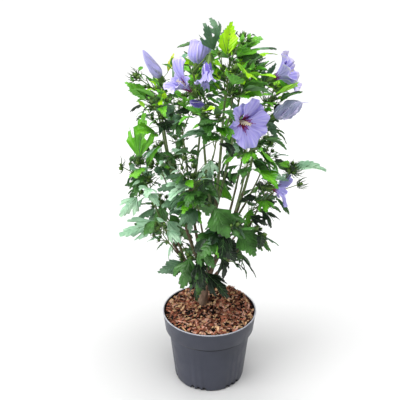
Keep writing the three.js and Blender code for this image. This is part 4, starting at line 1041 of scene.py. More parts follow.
# Shoots and side twigs: this year's wood goes on from each bough, smooth and brownish green, thinner than
# a pencil, with a slight swelling at every node. It ends in a flower bud.
STEM = dict(every=2.6, shoot_sides=9, twig_sides=7, twiglet_sides=6, twiglet_radius=(1.0, 0.7), knot=0.22,
            knot_width=1.6, twig_sag=0.8, twiglet_sag=0.5)


def stem_tube(line, foot, tip, sides, knots=()):
    share = np.linspace(0, 1, len(line))
    radii = foot + (tip - foot) * share
    for knot in knots:
        away = np.linalg.norm(line - knot, axis=1)
        radii = radii * (1 + STEM["knot"] * np.exp(-(away / STEM["knot_width"]) ** 2))
    return tube(line, radii, sides)


shoot_parts, twig_parts = [], []
for shoot in shoots:
    foot = shoot["tip_radius"]
    tip = foot * SHOOT["foot"] * SHOOT["taper"]
    knots = [leaf["node"] for leaf in shoot["leaves"]]
    shoot_parts.append(stem_tube(shoot["curve"], foot, tip, STEM["shoot_sides"], knots))
    twig_foot = foot * SHOOT["foot"] * SHOOT["twig_foot"]
    for start, end in shoot["twigs"]:
        line = smooth_line([start, (start + end) / 2 - UP * STEM["twig_sag"], end], STEM["every"])
        twig_parts.append(stem_tube(line, twig_foot, tip * SHOOT["twig_tip"], STEM["twig_sides"], knots))
    for start, end in shoot["twiglets"]:
        line = smooth_line([start, (start + end) / 2 - UP * STEM["twiglet_sag"], end], STEM["every"])
        twig_parts.append(stem_tube(line, *STEM["twiglet_radius"], STEM["twiglet_sides"]))
masses = ["foliage_" + shoot["name"] for shoot in shoots]
add_joined("shoots", shoot_parts, [streaked("young_bark", "586538", "84945c", 0.6)], "bark", masses)
add_joined("side_twigs", twig_parts, [streaked("green_rind", "4f6a34", "7a9150", 0.5)], "foliage", masses)

# Leaves: each has three lobes and blunt teeth, a wedge at its foot, and three main ribs. The upper face is
# glossy and the underside pale and dull. The lower leaves hang and are dark, partly in their own colour and
# partly by painted shade, and the top ones are fresh. Pale and grey leaves carry a painted sheen.
HALF_OUTLINES = dict(
    cut=([(1, 0), (0.74, 0.14), (0.5, 0.12), (0.7, 0.33), (0.45, 0.4), (0.27, 0.26), (0, 0.02)],
         (2, 1, 1, 2, 1, 0)),
    broad=([(1, 0), (0.79, 0.16), (0.6, 0.2), (0.6, 0.35), (0.36, 0.38), (0.2, 0.24), (0, 0.02)],
           (2, 1, 1, 2, 1, 0)),
    narrow=([(1, 0), (0.66, 0.16), (0.42, 0.26), (0.26, 0.22), (0, 0.02)], (2, 2, 1, 0)),
)
TOOTH = [(0.0, 0.0), (0.2, 1.0), (0.6, 0.8)]
TOOTH_DEPTH = 0.062 / 0.13
TOOTH_SIZE = (0.6, 1.2)
TOOTH_SHIFT = (-0.08, 0.08)
BLADE = dict(rings=(0.3, 0.6, 0.84, 1.0), small_rings=(0.5, 1.0), small=24, narrow=34, thickness=0.36,
             arch=(0.03, 0.13), tip_fall=(0.02, 0.22), twist=0.34, wave=(0.015, 0.05), vein_dip=0.018,
             vein_width=0.05, lobe_heading=0.5, crease=0.03, high=430, forms=5, top=560,
             low_sides=dict(fold=(-0.34, -0.02), cross=(-0.7, 0.0)),
             high_sides=dict(fold=(-0.22, 0.34), cross=(-0.5, 0.4)))
RIBS = dict(length=60, sides=3, above=0.1, middle=((0.94, 0), 6, 0.62, 0.2),
            lobe=((0.62, 0.31), 4, 0.5, 0.18), short=((0.15, 0.12), 2, 0.3, 0.12), short_at=(0.44, 0.62),
            short_from=48)
STALK = dict(steps=6, sides=5, out=0.4, lift=0.05, level=0.25, under_blade=1.5, thin=0.5, length=110,
             thick=0.72, at_node=0.5, at_blade=0.12, fades=8)
BACK_TONE = "8fb486"
BACK_SHARE = 0.25
# Pale and grey are painted sheen: the whitish shine of reflected light laid into a leaf's colour. Deep is
# partly the dark green of old leaves and partly painted shade on the low leaves under the crown.
TINTS = dict(
    deep=("081c0a", "153410"), mid=("274c1a", "4c8436"), grey=("44684a", "678e6a"), pale=("93c29d", "c0e4c2"),
    fresh=("4c9a10", "74c22a"), lime=("94e606", "bcf80e"), yellow=("b9cb30", "d8e25a"),
)
TINTS_BY_HEIGHT = [
    (330, ("deep", "deep", "mid", "deep", "mid", "grey", "deep", "mid")),
    (420, ("deep", "mid", "deep", "mid", "grey", "mid", "fresh", "deep")),
    (520, ("mid", "mid", "deep", "grey", "mid", "fresh", "pale", "mid")),
    (600, ("mid", "fresh", "mid", "grey", "deep", "fresh", "mid", "fresh")),
    (999, ("fresh", "mid", "fresh", "grey", "lime", "mid", "fresh", "fresh")),
]
# Leaves on the left, where the light falls, get pale and grey tints: painted light and painted sheen.
PAINTED_LIGHT_SIDE = dict(across=-35, height=(290, 470), tints=("pale", "grey", "mid", "pale", "grey", "mid"))


def half_outline(corners, teeth_between, rng):
    """One side of a leaf from its tip to its foot, with blunt teeth that point to the tip."""
    corners = np.array(corners, float)
    points = []
    for start, end, teeth in zip(corners, corners[1:], teeth_between):
        along = end - start
        out = np.array([-along[1], along[0]]) / np.linalg.norm(along)
        out = out if out @ ((start + end) / 2 - (0.4, 0.0)) > 0 else -out
        count = max(teeth, 1)
        depth = TOOTH_DEPTH * np.linalg.norm(along) / count if teeth else 0
        for i in range(count):
            size = depth * rng.uniform(*TOOTH_SIZE)
            shift = rng.uniform(*TOOTH_SHIFT) if teeth else 0
            for t, rise in (TOOTH if teeth else [(0.0, 0.0), (0.5, 0.0)]):
                share = (i + t + shift * (t > 0)) / count
                points.append(start + along * share + out * size * rise)
    return np.array(points + [corners[-1]])


def leaf_form(guide, rng):
    left, right = half_outline(*guide, rng), half_outline(*guide, rng)
    right[:, 1] *= -1
    whole = np.vstack([right[::-1], left[1:]])
    heading = np.arctan2(whole[:, 1], np.maximum(whole[:, 0], 1e-3))
    for i in range(1, len(heading)):
        heading[i] = max(heading[i], heading[i - 1] + 0.004)
    reach = np.hypot(whole[:, 0], whole[:, 1])
    return np.stack([np.cos(heading) * reach, np.sin(heading) * reach], 1)


def fewer_points(form):
    """The same leaf with every third point of its outline, and its tip, for the smallest leaves."""
    tip = len(form) // 2
    kept = sorted({0, tip, len(form) - 1} | set(range(tip % 3, len(form), 3)))
    return form[kept]


form_rng = np.random.default_rng(17)
leaf_forms = {name: [leaf_form(guide, form_rng) for _ in range(BLADE["forms"])]
              for name, guide in HALF_OUTLINES.items()}
leaf_forms["small"] = [fewer_points(form) for form in leaf_forms["narrow"]]


def blade_height(u, v, bend):
    """How high the blade stands above its plane, in leaf lengths, as it arches, folds and dips at ribs."""
    level = 4 * bend["arch"] * u * (1 - u) - bend["tip_fall"] * u ** 3 + bend["cross"] * v ** 2
    level = level + bend["fold"] * (np.sqrt(v ** 2 + BLADE["crease"] ** 2) - BLADE["crease"])
    away = np.abs(v)
    for side in (-1, 1):
        across = np.abs(v * math.cos(BLADE["lobe_heading"]) - side * u * math.sin(BLADE["lobe_heading"]))
        away = np.minimum(away, np.where(u > 0.1, across, away))
    level = level - BLADE["vein_dip"] * np.exp(-(away / BLADE["vein_width"]) ** 2)
    return level + bend["twist"] * u * v


def leaf_bend(leaf, rng):
    soft = 0.5 if leaf["young"] else 1
    sides = BLADE["high_sides"] if leaf["foot"][2] > BLADE["high"] else BLADE["low_sides"]
    return dict(arch=rng.uniform(*BLADE["arch"]) * soft, tip_fall=rng.uniform(*BLADE["tip_fall"]) * soft,
                fold=rng.uniform(*sides["fold"]), cross=rng.uniform(*sides["cross"]),
                twist=rng.uniform(-BLADE["twist"], BLADE["twist"]), wave=rng.uniform(*BLADE["wave"]),
                phase=rng.uniform(*ANY_PHASE), turns=rng.uniform(5, 9))


def rim_faces(border, count):
    """The narrow edge that joins an upper sheet to the sheet below it, whose points come that much later."""
    after = np.roll(border, -1)
    return np.vstack([np.stack([after, border, border + count], 1),
                      np.stack([after, border + count, after + count], 1)])


def leaf_blade(leaf, form, rings, bend, seed):
    """One blade as a closed thin shell, with its upper faces first."""
    n = len(form)
    share = np.array(rings)[:, None]
    u = np.concatenate([[0], (share * form[:, 0]).ravel()])
    v = np.concatenate([[0], (share * form[:, 1]).ravel()])
    level = blade_height(u, v, bend)
    edge = np.concatenate([[0], np.repeat(rings, n)]) ** 3
    heading = np.arctan2(v, np.maximum(u, 1e-6))
    level += bend["wave"] * edge * np.sin(bend["turns"] * heading + bend["phase"])
    half = BLADE["thickness"] / 2 / leaf["length"]
    above, below = on_leaf(leaf, u, v, level + half), on_leaf(leaf, u, v, level - half)
    i = np.arange(n - 1)
    top = [np.stack([np.zeros(n - 1, int), 1 + i, 2 + i], 1)]
    for k in range(len(rings) - 1):
        a, b = 1 + k * n, 1 + (k + 1) * n
        top += [np.stack([a + i, b + i, b + i + 1], 1), np.stack([a + i, b + i + 1, a + i + 1], 1)]
    top = np.vstack(top)
    count = 1 + len(rings) * n
    border = [0, *range(1, count, n), *range(count - n + 1, count), *range(count - n - 1, 0, -n)]
    faces = np.vstack([top, rim_faces(np.array(border), count), top[:, ::-1] + count])
    under = np.zeros(len(faces), int)
    under[-len(top):] = 1
    grain = np.stack([u, v, np.full(len(u), seed)], 1)
    return np.vstack([above, below]), faces, np.vstack([grain, grain]), under


def leaf_tint(leaf, shoot):
    if "tint" in leaf:
        return leaf["tint"]
    across, _, height = leaf["foot"]
    draw = chance(shoot["key"], leaf["key"], DRAW["tint"])
    if leaf["young"] and height > BLADE["top"]:
        return ("fresh", "lime", "fresh", "fresh", "mid")[int(draw * 5)]
    # Painted light: leaves on the lit left side take the pale and grey tints.
    if across < PAINTED_LIGHT_SIDE["across"] and PAINTED_LIGHT_SIDE["height"][0] < height < PAINTED_LIGHT_SIDE["height"][1]:
        return PAINTED_LIGHT_SIDE["tints"][int(draw * len(PAINTED_LIGHT_SIDE["tints"]))]
    for top, choices in TINTS_BY_HEIGHT:
        if height < top:
            return choices[int(draw * len(choices))]


def leaf_form_name(leaf, shoot):
    if leaf["length"] < BLADE["small"]:
        return "small"
    if leaf["young"] or leaf["width"] < 0.6 or leaf["length"] < BLADE["narrow"]:
        return "narrow"
    draw = chance(shoot["key"], leaf["key"], DRAW["form"])
    return leaf.get("form") or ("cut", "broad", "cut")[int(draw * 3)]


def side_ribs(finish):
    """A wave whose crests are the side ribs, which run out from the middle rib towards the tip."""
    nodes, links = finish.node_tree.nodes, finish.node_tree.links
    parts = nodes.new("ShaderNodeSeparateXYZ")
    links.new(grain_places(finish), parts.inputs["Vector"])
    socket = parts.outputs["Y"]
    for operation, factor in (("ABSOLUTE", None), ("MULTIPLY_ADD", -0.8), ("MULTIPLY", 52), ("SINE", None)):
        step = nodes.new("ShaderNodeMath")
        step.operation = operation
        links.new(socket, step.inputs[0])
        if factor is not None:
            step.inputs[1].default_value = factor
        if operation == "MULTIPLY_ADD":
            links.new(parts.outputs["X"], step.inputs[2])
        socket = step.outputs[0]
    return socket


def leaf_finishes(tint):
    """The glossy upper face of a leaf, and its paler, duller back."""
    tones = colours(*TINTS[tint])
    face = mottled("leaf_face_" + tint, tones, 0.42, (0.36, 0.3, 0.46), True, (2.2, 3), (5, 2))
    relief(face, side_ribs(face), 0.35, 0.6)
    pale, = colours(BACK_TONE)
    paler = [tuple((1 - BACK_SHARE) * c + BACK_SHARE * p for c, p in zip(tone, pale)) for tone in tones]
    back = mottled("leaf_back_" + tint, paler, 0.25, (0.75, 0.68, 0.85), True, (3, 4), (6, 2), (14, 4),
                   (0.2, 0.4))
    return [face, back]


def leaf_ribs(leaf, form_name, bend):
    """The raised ribs on a blade: the middle one, one to each side lobe, and short ones on large leaves.
    A rib is its end, its steps and its radius at foot and tip."""
    ribs = [(0, 1, RIBS["middle"])]
    for side in (-1, 1):
        if form_name in ("cut", "broad"):
            ribs.append((0, side, RIBS["lobe"]))
        if leaf["length"] > RIBS["short_from"]:
            ribs += [(at, side, RIBS["short"]) for at in RIBS["short_at"]]
    tubes = []
    for at, side, ((along, aside), steps, foot, tip) in ribs:
        share = np.linspace(0, 1, steps + 1)
        u, v = at + along * share, side * aside * share
        line = on_leaf(leaf, u, v, blade_height(u, v, bend) + RIBS["above"] / leaf["length"])
        radii = np.linspace(foot, tip, steps + 1) * leaf["length"] / RIBS["length"]
        tubes.append(tube(line, radii, RIBS["sides"]))
    return tubes


def leaf_stalk(leaf):
    """A stalk bends from its node to the middle rib, and is thicker at both ends."""
    node, foot, direction = leaf["node"], leaf["foot"], leaf["direction"]
    reach = np.linalg.norm(foot - node)
    turns = (node, node + (unit(foot - node) * STALK["out"] + UP * STALK["lift"]) * reach,
             foot - direction * STALK["level"] * reach, foot + direction * STALK["under_blade"])
    t = np.linspace(0, 1, STALK["steps"])[:, None]
    pulls = ((1 - t) ** 3, 3 * t * (1 - t) ** 2, 3 * t ** 2 * (1 - t), t ** 3)
    line = sum(pull * turn for pull, turn in zip(pulls, turns))
    swell = STALK["thick"] + STALK["at_node"] * np.exp(-t[:, 0] * STALK["fades"])
    swell += STALK["at_blade"] * np.exp(-(1 - t[:, 0]) * STALK["fades"])
    return tube(line, min(1.0, STALK["thin"] + leaf["length"] / STALK["length"]) * swell, STALK["sides"])


blades = {tint: [] for tint in TINTS}
rib_parts, stalk_parts = [], []
leaf_rng = np.random.default_rng(23)
for shoot in shoots:
    for leaf in shoot["leaves"]:
        bend = leaf_bend(leaf, leaf_rng)
        form_name = leaf_form_name(leaf, shoot)
        form = leaf_forms[form_name][int(leaf_rng.integers(BLADE["forms"]))]
        rings = BLADE["small_rings"] if form_name == "small" else BLADE["rings"]
        blades[leaf_tint(leaf, shoot)].append(leaf_blade(leaf, form, rings, bend, leaf_rng.uniform(0, 9)))
        rib_parts += leaf_ribs(leaf, form_name, bend)
        stalk_parts.append(leaf_stalk(leaf))
for tint, parts in blades.items():
    add_joined("leaves_" + tint, parts, leaf_finishes(tint), "foliage", masses)
add_joined("leaf_ribs", rib_parts, [streaked("leaf_rib", "4f7a45", "6c9659", 0.5)], "foliage", masses,
           sharp=70)
add_joined("leaf_stalks", stalk_parts, [streaked("leaf_stalk", "587a3c", "7b9a55", 0.45)], "foliage", masses)

# Blooms: five thin pleated petals that overlap one way round, lilac-blue with a crimson eye, round a cream
# column of stamens. Some are half open, some rolled up or wilted, and each stands in a green five-lobed cup.
PETAL = dict(rows=20, columns=24, thickness=0.5, count=5, root=1.6, pleats=((6, 1.0), (11, 0.5)),
             ruffles=(2.0, 3.2), streaks=3.5)
BLOOM_SHAPES = dict(
    open=dict(tone="lilac", start=-20, sizes=(1.1, 0.98, 0.84, 1.1, 1.14), round_end=0.2, ruffle=4.0,
              pleat=0.55, over=3.0, furl=1.0, eye=0.3, streaks=0.16, painted_sheen_edge=0.0,
              opening=((0, 16), (0.2, 36), (0.5, 60), (0.8, 72), (1, 92)),
              turn=((0, 40), (0.35, 46), (0.75, 50), (1, 42))),
    pale_funnel=dict(tone="pale", start=0, sizes=(1.22, 0.78, 0.95, 1.0, 0.72), round_end=0.3, ruffle=3.0,
                     pleat=0.7, over=2.2, furl=5.0, eye=0.2, streaks=0.4, painted_sheen_edge=0.06,
                     opening=((0, 10), (0.3, 18), (0.6, 34), (0.85, 50), (1, 82)),
                     turn=((0, 38), (0.4, 42), (1, 42))),
    side_funnel=dict(tone="lilac", start=24, sizes=(0.96, 0.95, 0.9, 1.0, 1.0), round_end=0.14, ruffle=4.5,
                     pleat=0.9, over=2.2, furl=2.5, eye=0.16, streaks=0.1, painted_sheen_edge=0.08,
                     opening=((0, 20), (0.3, 36), (0.65, 54), (0.85, 58), (1, 76)),
                     turn=((0, 38), (0.4, 48), (1, 54))),
    low_funnel=dict(tone="lilac", start=20, sizes=(1.05, 0.8, 1.1, 0.9, 0.95), round_end=0.34, ruffle=2.6,
                    pleat=0.6, over=2.0, furl=1.0, eye=0.24, streaks=0.16, painted_sheen_edge=0.0,
                    opening=((0, 16), (0.3, 26), (0.6, 48), (0.85, 72), (1, 96)),
                    turn=((0, 38), (0.4, 40), (1, 36))),
    globe=dict(tone="lilac", start=0, sizes=(1.0, 1.08, 0.92, 1.04, 0.95), round_end=0.16, ruffle=2.6,
               pleat=0.8, over=2.4, furl=0.0, eye=0.0, streaks=0.0, painted_sheen_edge=0.05,
               opening=((0, 66), (0.25, 46), (0.5, 14), (0.75, -12), (1, 30)),
               turn=((0, 38), (0.4, 50), (1, 56))),
    hanging=dict(tone="pale", start=30, sizes=(1.15, 0.4, 1.1, 0.4, 0.95), round_end=0.3, ruffle=3.0,
                 pleat=0.8, over=2.0, furl=4.0, eye=0.0, streaks=0.0, painted_sheen_edge=0.06,
                 opening=((0, 10), (0.3, 16), (0.6, 26), (0.8, 50), (1, 84)),
                 turn=((0, 38), (0.4, 37), (1, 34))),
)
ROLLED = dict(rows=24, sides=50, folds=5, twist=1.9, painted_sheen_from=0.84)
ROLLED_SHAPES = dict(
    first_rolled=dict(tone="pale", fold=0.34, wrinkle=0.08,
                      form=((0, 0.09), (0.12, 0.17), (0.3, 0.19), (0.6, 0.145), (0.85, 0.08), (1, 0.02))),
    violet_bud=dict(tone="violet", fold=0.26, wrinkle=0.05,
                    form=((0, 0.12), (0.25, 0.23), (0.6, 0.22), (0.88, 0.14), (1, 0.04))),
    wilted=dict(tone="wilted", fold=0.46, wrinkle=0.2, trail=16,
                form=((0, 0.11), (0.2, 0.24), (0.5, 0.29), (0.75, 0.24), (0.92, 0.13), (1, 0.04))),
)
CALYX = dict(length=15, foot=2.4, rim=5.6, lobe=9, lobes=5, sides=20, rings=6, thickness=0.7, flare=1.6,
             inner_foot=0.6, floor=0.4, bracts=8, bract_length=15, bract_spread=0.55)
SPIKE = dict(steps=4, sides=3, radius=1.1, taper=0.85, length=(0.75, 1.15), uneven=0.2, ahead=(0.35, 0.5),
             curl=1.9)
# The edge tone is painted sheen: a whitish shine laid into the colour of petal edges.
PETAL_TONES = dict(lilac=("a89ff4", "ccc5ff"), pale=("a6a0e6", "c9c3f6"), violet=("5848aa", "8073ce"),
                   wilted=("8588b2", "b6badc"), eye=("760a34", "a0144c"), edge=("c8c0ec", "dfd8f6"),
                   flush=("8450b4", "a473d0"))
COLUMN = dict(reach=0.62, steps=14, radii=(2.2, 1.4), anthers=46, first=0.28, spread=0.66, turn=2.4,
              stigmas=5)
FLUSH = 0.1
HEART = 0.8
PETAL_SIDE = np.array([0.1, 0.2, 1.0])


def bloom_axes(bloom):
    ahead = bloom["face"]
    across = square_to(ahead, PETAL_SIDE)
    return ahead, across, np.cross(ahead, across)


def round_bloom(bloom, height, radius, a):
    """Places at that height above a bloom's throat, and that far out at that angle round its middle."""
    ahead, across, other = bloom_axes(bloom)
    return (bloom["throat"] + ahead * height[..., None] + across * (radius * np.cos(a))[..., None]
            + other * (radius * np.sin(a))[..., None])


def shell(sheet, thickness, slots, grain):
    """Closes a grid of points (rows, columns, 3) into a thin shell. Slots names each cell's finish."""
    rows, columns = sheet.shape[:2]
    along, aside = np.gradient(sheet, axis=0), np.gradient(sheet, axis=1)
    normal = np.cross(along, aside)
    normal /= np.maximum(np.linalg.norm(normal, axis=2), 1e-9)[..., None]
    above, below = sheet + normal * thickness / 2, sheet - normal * thickness / 2
    index = np.arange(rows * columns).reshape(rows, columns)
    a, b, c, d = index[:-1, :-1], index[1:, :-1], index[1:, 1:], index[:-1, 1:]
    top = np.stack([np.stack([a, b, c], 2), np.stack([a, c, d], 2)], 2).reshape(-1, 3)
    cell = np.repeat(np.asarray(slots).reshape(-1), 2)
    border = np.concatenate([index[:-1, 0], index[-1, :-1], index[:0:-1, -1], index[0, :0:-1]])
    rim = rim_faces(border, rows * columns)
    faces = np.vstack([top, rim, top[:, ::-1] + rows * columns])
    points = np.vstack([above.reshape(-1, 3), below.reshape(-1, 3)])
    slot = np.concatenate([cell, np.zeros(len(rim), int), cell])
    return points, faces, np.vstack([grain, grain]), slot


def petal(bloom, shape, turn, length, rng):
    rows, columns = PETAL["rows"], PETAL["columns"]
    along, q = np.meshgrid(np.linspace(0, 1, rows), np.linspace(-1, 1, columns), indexing="ij")
    s = along * (1 - shape["round_end"] * np.abs(q) ** 3)
    fine = np.linspace(0, 1, 200)
    lean = np.radians(np.interp(fine, *np.array(shape["opening"], float).T))
    step = bloom["size"] * length / (len(fine) - 1)
    out = np.concatenate([[0], np.cumsum(np.sin(lean[:-1]))]) * step
    up = np.concatenate([[0], np.cumsum(np.cos(lean[:-1]))]) * step
    a = turn + q * np.radians(np.interp(s, *np.array(shape["turn"], float).T))
    radius = PETAL["root"] + np.interp(s, fine, out)
    height = np.interp(s, fine, up)
    tilt = np.interp(s, fine, lean)
    raise_by = shape["over"] * q * np.minimum(1, 3 * s) + shape["furl"] * s * q ** 2
    for folds, share in PETAL["pleats"]:
        pleat = np.sin(q * math.pi * folds + rng.uniform(*ANY_PHASE))
        raise_by += shape["pleat"] * share * np.sqrt(s) * pleat
    ruffle = np.sin(q * math.pi * rng.uniform(*PETAL["ruffles"]) + rng.uniform(*ANY_PHASE))
    raise_by += shape["ruffle"] * s ** 4 * ruffle
    sheet = round_bloom(bloom, height + raise_by * np.sin(tilt), radius - raise_by * np.cos(tilt), a)
    middle_q = (q[:-1, :-1] + q[1:, 1:]) / 2
    middle_s = (along[:-1, :-1] + along[1:, 1:]) / 2
    streak = np.maximum(0, np.cos(middle_q * math.pi * PETAL["streaks"])) * (1 - middle_q ** 2)
    eye = (middle_s < shape["eye"] + shape["streaks"] * streak) & (shape["eye"] > 0)
    flush = (middle_s < shape["eye"] + FLUSH + shape["streaks"] * streak) & (shape["eye"] > 0)
    # Cells at the petal's edge take the pale edge tone: painted sheen.
    edge = np.maximum(middle_s, np.abs(middle_q)) > 1 - shape["painted_sheen_edge"]
    slots = np.where(eye, 1, np.where(flush, 3, np.where(edge, 2, 0)))
    grain = np.stack([q, s, np.zeros_like(q)], 2).reshape(-1, 3)
    return shell(sheet, PETAL["thickness"], slots, grain)


def rolled_petals(bloom, shape, rng):
    """A bloom that is rolled up: five petals wound round each other, with a spiral of folds."""
    ahead, across, other = bloom_axes(bloom)
    s = np.linspace(0, 1, ROLLED["rows"])
    radius = np.interp(s, *np.array(shape["form"], float).T) * bloom["size"]
    a = angles_round(ROLLED["sides"])
    wound = (ROLLED["folds"] * (a[None] + ROLLED["twist"] * s[:, None]) / (2 * np.pi)) % 1
    depth = shape["fold"] * np.sin(np.pi * np.minimum(1, s * 1.2))[:, None]
    r = radius[:, None] * (1 - depth * wound ** 2)
    lengthwise, round_it = s[:, None], a[None]
    crumpled = np.sin(9 * round_it + 14 * lengthwise) * np.sin(17 * lengthwise + 3 * round_it)
    r = r * (1 + shape["wrinkle"] * crumpled)
    centre = bloom["throat"] + ahead * (lengthwise * bloom["size"])
    centre = centre + other * np.sin(lengthwise * math.pi) * 1.5
    rings = centre[:, None] + across * (r * np.cos(a))[..., None] + other * (r * np.sin(a))[..., None]
    points, faces = skin_over(rings, centre[0], centre[-1])
    grain = np.stack([wound * 2 - 1, np.broadcast_to(s[:, None], wound.shape), np.zeros_like(wound)], 2)
    grain = np.vstack([grain.reshape(-1, 3), [[0, 0, 0], [0, 1, 0]]])
    # The outer edge of each wound petal takes the pale edge tone, a painted sheen; a wilted bloom's trailing
    # tip takes that tone too.
    slot = np.zeros(len(faces), int)
    first = faces[:, 0] < wound.size
    slot[first] = np.where(wound.ravel()[faces[first, 0]] > ROLLED["painted_sheen_from"], 2, 0)
    parts = [(points, faces, grain, slot)]
    if "trail" in shape:
        t = np.linspace(0, 1, 8)[:, None]
        line = centre[-2] + ahead * shape["trail"] * t - UP * 5 * t ** 2 + other * 1.5 * np.sin(t * 5)
        trail = tube(line, 1.3 - 0.9 * t[:, 0], 5)
        parts.append((*trail, np.full(len(trail[1]), 2)))
    return parts


def calyx(bloom):
    """The green cup under a bloom, drawn out into five points."""
    a = angles_round(CALYX["sides"])
    point = np.abs(((a * CALYX["lobes"] / (2 * np.pi)) % 1) * 2 - 1)
    rings = []
    stations = [(share, True) for share in np.linspace(0, 1, CALYX["rings"])]
    stations += [(1, False), (CALYX["inner_foot"], False)]
    for share, outside in stations:
        swell = CALYX["foot"] + (CALYX["rim"] - CALYX["foot"]) * math.sin(share * math.pi / 2)
        within = (CALYX["rim"] - CALYX["thickness"]) * (0.6 + 0.4 * share)
        height = -CALYX["length"] * (1 - share) + CALYX["lobe"] * point ** 1.2 * share ** 2
        r = (swell * (1 + 0.06 * point) if outside else within) + CALYX["flare"] * point * share ** 3
        rings.append(round_bloom(bloom, height, r, a))
    ends = [bloom["throat"] - bloom["face"] * CALYX["length"] * share for share in (1, CALYX["floor"])]
    points, faces = skin_over(np.array(rings), *ends)
    grain = np.zeros((len(points), 3))
    grain[:-2, 0] = np.tile(np.cos(a) * 3, len(rings))
    grain[:-2, 1] = np.tile(np.sin(a) * 3, len(rings))
    return points, faces, grain


def bract_spikes(foot, ahead, count, length, spread_by, rng):
    """Thin pointed bracts that stand round a cup or a bud and curve up."""
    spikes = []
    for i in range(count):
        out = out_of(ahead, 2 * math.pi * (i + rng.uniform(-SPIKE["uneven"], SPIKE["uneven"])) / count)
        reach = length * rng.uniform(*SPIKE["length"])
        t = np.linspace(0, 1, SPIKE["steps"])[:, None]
        on = SPIKE["ahead"][0] * t + SPIKE["ahead"][1] * t ** 2
        line = foot + (out * spread_by * np.sin(t * SPIKE["curl"]) + ahead * on) * reach
        if not past_reach(line[-1]):
            radii = SPIKE["radius"] * (1 - SPIKE["taper"] * t[:, 0] ** 2)
            spikes.append(tube(line, radii, SPIKE["sides"]))
    return spikes


def make_column(bloom):
    """The column of stamens, with its anthers, and five stigmas at its tip."""
    ahead, across, other = bloom_axes(bloom)
    reach, steps = bloom["size"] * COLUMN["reach"], COLUMN["steps"]
    line = bloom["throat"] + ahead * np.linspace(0, reach, steps)[:, None]
    parts = [tube(line, np.linspace(*COLUMN["radii"], steps), 10)]
    for i in range(COLUMN["anthers"]):
        at, a = COLUMN["first"] + COLUMN["spread"] * i / COLUMN["anthers"], COLUMN["turn"] * i
        out = across * math.cos(a) + other * math.sin(a)
        start = bloom["throat"] + ahead * reach * at
        end = start + out * (4.4 - 1.4 * at) + ahead
        line = np.array([start, (start + end) / 2, end - out * 0.4, end + out * 0.5])
        parts.append(tube(line, [0.2, 0.2, 0.85, 0.35], 5))
    for a in angles_round(COLUMN["stigmas"]):
        out = across * math.cos(a) + other * math.sin(a)
        start = bloom["throat"] + ahead * reach
        end = start + out * 2.4 + ahead * 3.2
        line = np.array([start, (start + end) / 2, end, end + out * 0.8])
        parts.append(tube(line, [0.4, 0.35, 0.8, 0.5], 6))
    return parts


petal_parts = {tone: [] for tone in ("lilac", "pale", "violet", "wilted")}
cup_parts, column_parts, bract_parts = [], [], []
bloom_rng = np.random.default_rng(31)
for bloom in [bloom for shoot in shoots for bloom in shoot["blooms"]]:
    role = bloom["role"]
    foot = bloom["throat"] - bloom["face"] * CALYX["length"]
    stalk = smooth_line([bloom["node"], foot, foot + bloom["face"] * 3], 2)
    cup_parts += [tube(stalk, np.linspace(1.4, 2.3, len(stalk)), 8), calyx(bloom)]
    bract_parts += bract_spikes(foot, bloom["face"], CALYX["bracts"], CALYX["bract_length"],
                                CALYX["bract_spread"], bloom_rng)
    if role in ROLLED_SHAPES:
        shape = ROLLED_SHAPES[role]
        petal_parts[shape["tone"]] += rolled_petals(bloom, shape, bloom_rng)
        continue
    shape = BLOOM_SHAPES[role]
    for i, length in enumerate(shape["sizes"]):
        turn = radians(shape["start"] + 360 * i / PETAL["count"])
        petal_parts[shape["tone"]].append(petal(bloom, shape, turn, length, bloom_rng))
    if shape["eye"]:
        column_parts += make_column(bloom)
    if role == "hanging":
        core = dict(bloom, size=bloom["size"] * HEART)
        petal_parts["violet"] += rolled_petals(core, ROLLED_SHAPES["violet_bud"], bloom_rng)


def satiny(name):
    """A thin satiny petal with fine veins that run to its edge."""
    finish = mottled("petal_" + name, colours(*PETAL_TONES[name]), 0.3, (0.55, 0.48, 0.62), True,
                     (3, 3, (3, 0.6, 1)), (8, 2), (8, 3, (4, 0.4, 1)), (0.3, 0.6))
    finish.node_tree.nodes["Principled BSDF"].inputs["Sheen Weight"].default_value = 0.25
    return finish


marks = [satiny(name) for name in ("eye", "edge", "flush")]
for tone, parts in petal_parts.items():
    add_joined("petals_" + tone, parts, [satiny(tone), *marks], "blossom", masses)
add_joined("stamen_columns", column_parts, [streaked("cream_stamens", "eee2b8", "faf3da", 0.6)], "blossom",
           masses)

# Buds: every shoot and twig ends in fat green ribbed buds, ringed by thin dark green bracts.
# They stand singly low down, and in spiky clusters where the next blooms are due.
BUD = dict(rows=8, sides=10, ribs=5, rib=0.07, fat=0.36, bracts=7,
           form=((0, 0.3), (0.2, 0.75), (0.45, 1), (0.7, 0.8), (0.9, 0.38), (1, 0.08)))
BRACT_ON_SHOOT, BRACT_ON_TWIGLET = 12, 9
BUD_ON_SHOOT, BUD_ON_TWIG, BUD_ON_TWIGLET = 13, 11, 8.5
SPIKY = dict(shoots=("left_low", "right_low", "rear_tall", "top_front", "right_tall", "left_tall"), bract=22,
             more=2)
TWIGLET_BUDS = dict(above=330, share=0.6)
CLUSTER = dict(ahead=0.8, aside=0.75, back=(2, 9), out=4, length=(0.75, 1.1), smaller=0.8, stem_from=8,
               stem_to=2, stem_radii=(0.8, 0.8, 1.0), spread=0.48)


def make_bud(foot, ahead, length, radius):
    line = foot + ahead * np.linspace(0, length, BUD["rows"])[:, None]
    radii = np.interp(np.linspace(0, 1, BUD["rows"]), *np.array(BUD["form"], float).T) * radius
    lumps = 1 + BUD["rib"] * np.cos(BUD["ribs"] * angles_round(BUD["sides"]))
    return tube(line, radii, BUD["sides"], lumps)


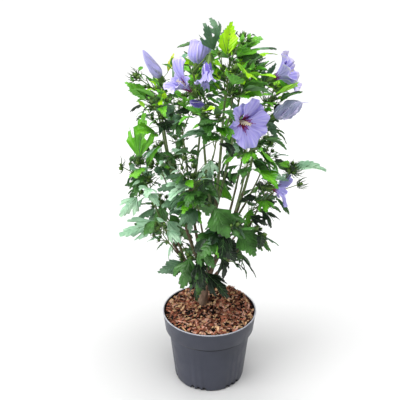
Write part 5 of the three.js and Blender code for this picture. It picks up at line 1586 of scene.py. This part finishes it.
bud_parts = []
bud_rng = np.random.default_rng(47)


def bud_cluster(end, ahead, count, size, bract):
    """One bud at the end of a stem, and others round it on short stems of their own."""
    for i in range(count):
        way, foot, full = ahead, end, size
        if i > 0:
            side = square_to(ahead, bud_rng.normal(0, 1, 3))
            way = unit(ahead * CLUSTER["ahead"] + side * CLUSTER["aside"])
            foot = end - ahead * bud_rng.uniform(*CLUSTER["back"]) + way * CLUSTER["out"]
            full = size * CLUSTER["smaller"]
        length = full * bud_rng.uniform(*CLUSTER["length"])
        tip = foot + way * length
        if past_reach(tip) or any(np.linalg.norm(tip - centre) < radius for centre, radius in free_spheres):
            continue
        if i > 0:
            stem = [end - ahead * CLUSTER["stem_from"], foot - way * CLUSTER["stem_to"], foot + way]
            bud_parts.append(tube(np.array(stem), CLUSTER["stem_radii"], 5))
        bud_parts.append(make_bud(foot, way, length, length * BUD["fat"]))
        bract_parts.extend(bract_spikes(foot, way, BUD["bracts"], bract, CLUSTER["spread"], bud_rng))


for shoot in shoots:
    spiky = shoot["name"] in SPIKY["shoots"]
    bract, more = (SPIKY["bract"], SPIKY["more"]) if spiky else (BRACT_ON_SHOOT, 0)
    tip = shoot["line"][-1]
    if not any(np.linalg.norm(bloom["node"] - tip) < 2 for bloom in shoot["blooms"]):
        count = int(bud_rng.integers(2, 5)) + more
        bud_cluster(tip, direction_on(shoot["line"], 1), count, BUD_ON_SHOOT, bract)
    for start, end in shoot["twigs"]:
        bud_cluster(end, unit(end - start), int(bud_rng.integers(1, 4)) + more, BUD_ON_TWIG, bract)
    for start, end in shoot["twiglets"]:
        if end[2] > TWIGLET_BUDS["above"] and bud_rng.uniform() < TWIGLET_BUDS["share"]:
            bud_cluster(end, unit(end - start), 1, BUD_ON_TWIGLET, BRACT_ON_TWIGLET)
add_joined("buds_and_cups", bud_parts + cup_parts, [streaked("bud_green", "4a6b2a", "78964a", 0.55)],
           "foliage", masses)
add_joined("bracts", bract_parts, [streaked("bract", "22401c", "4c6b34", 0.55)], "foliage", masses)
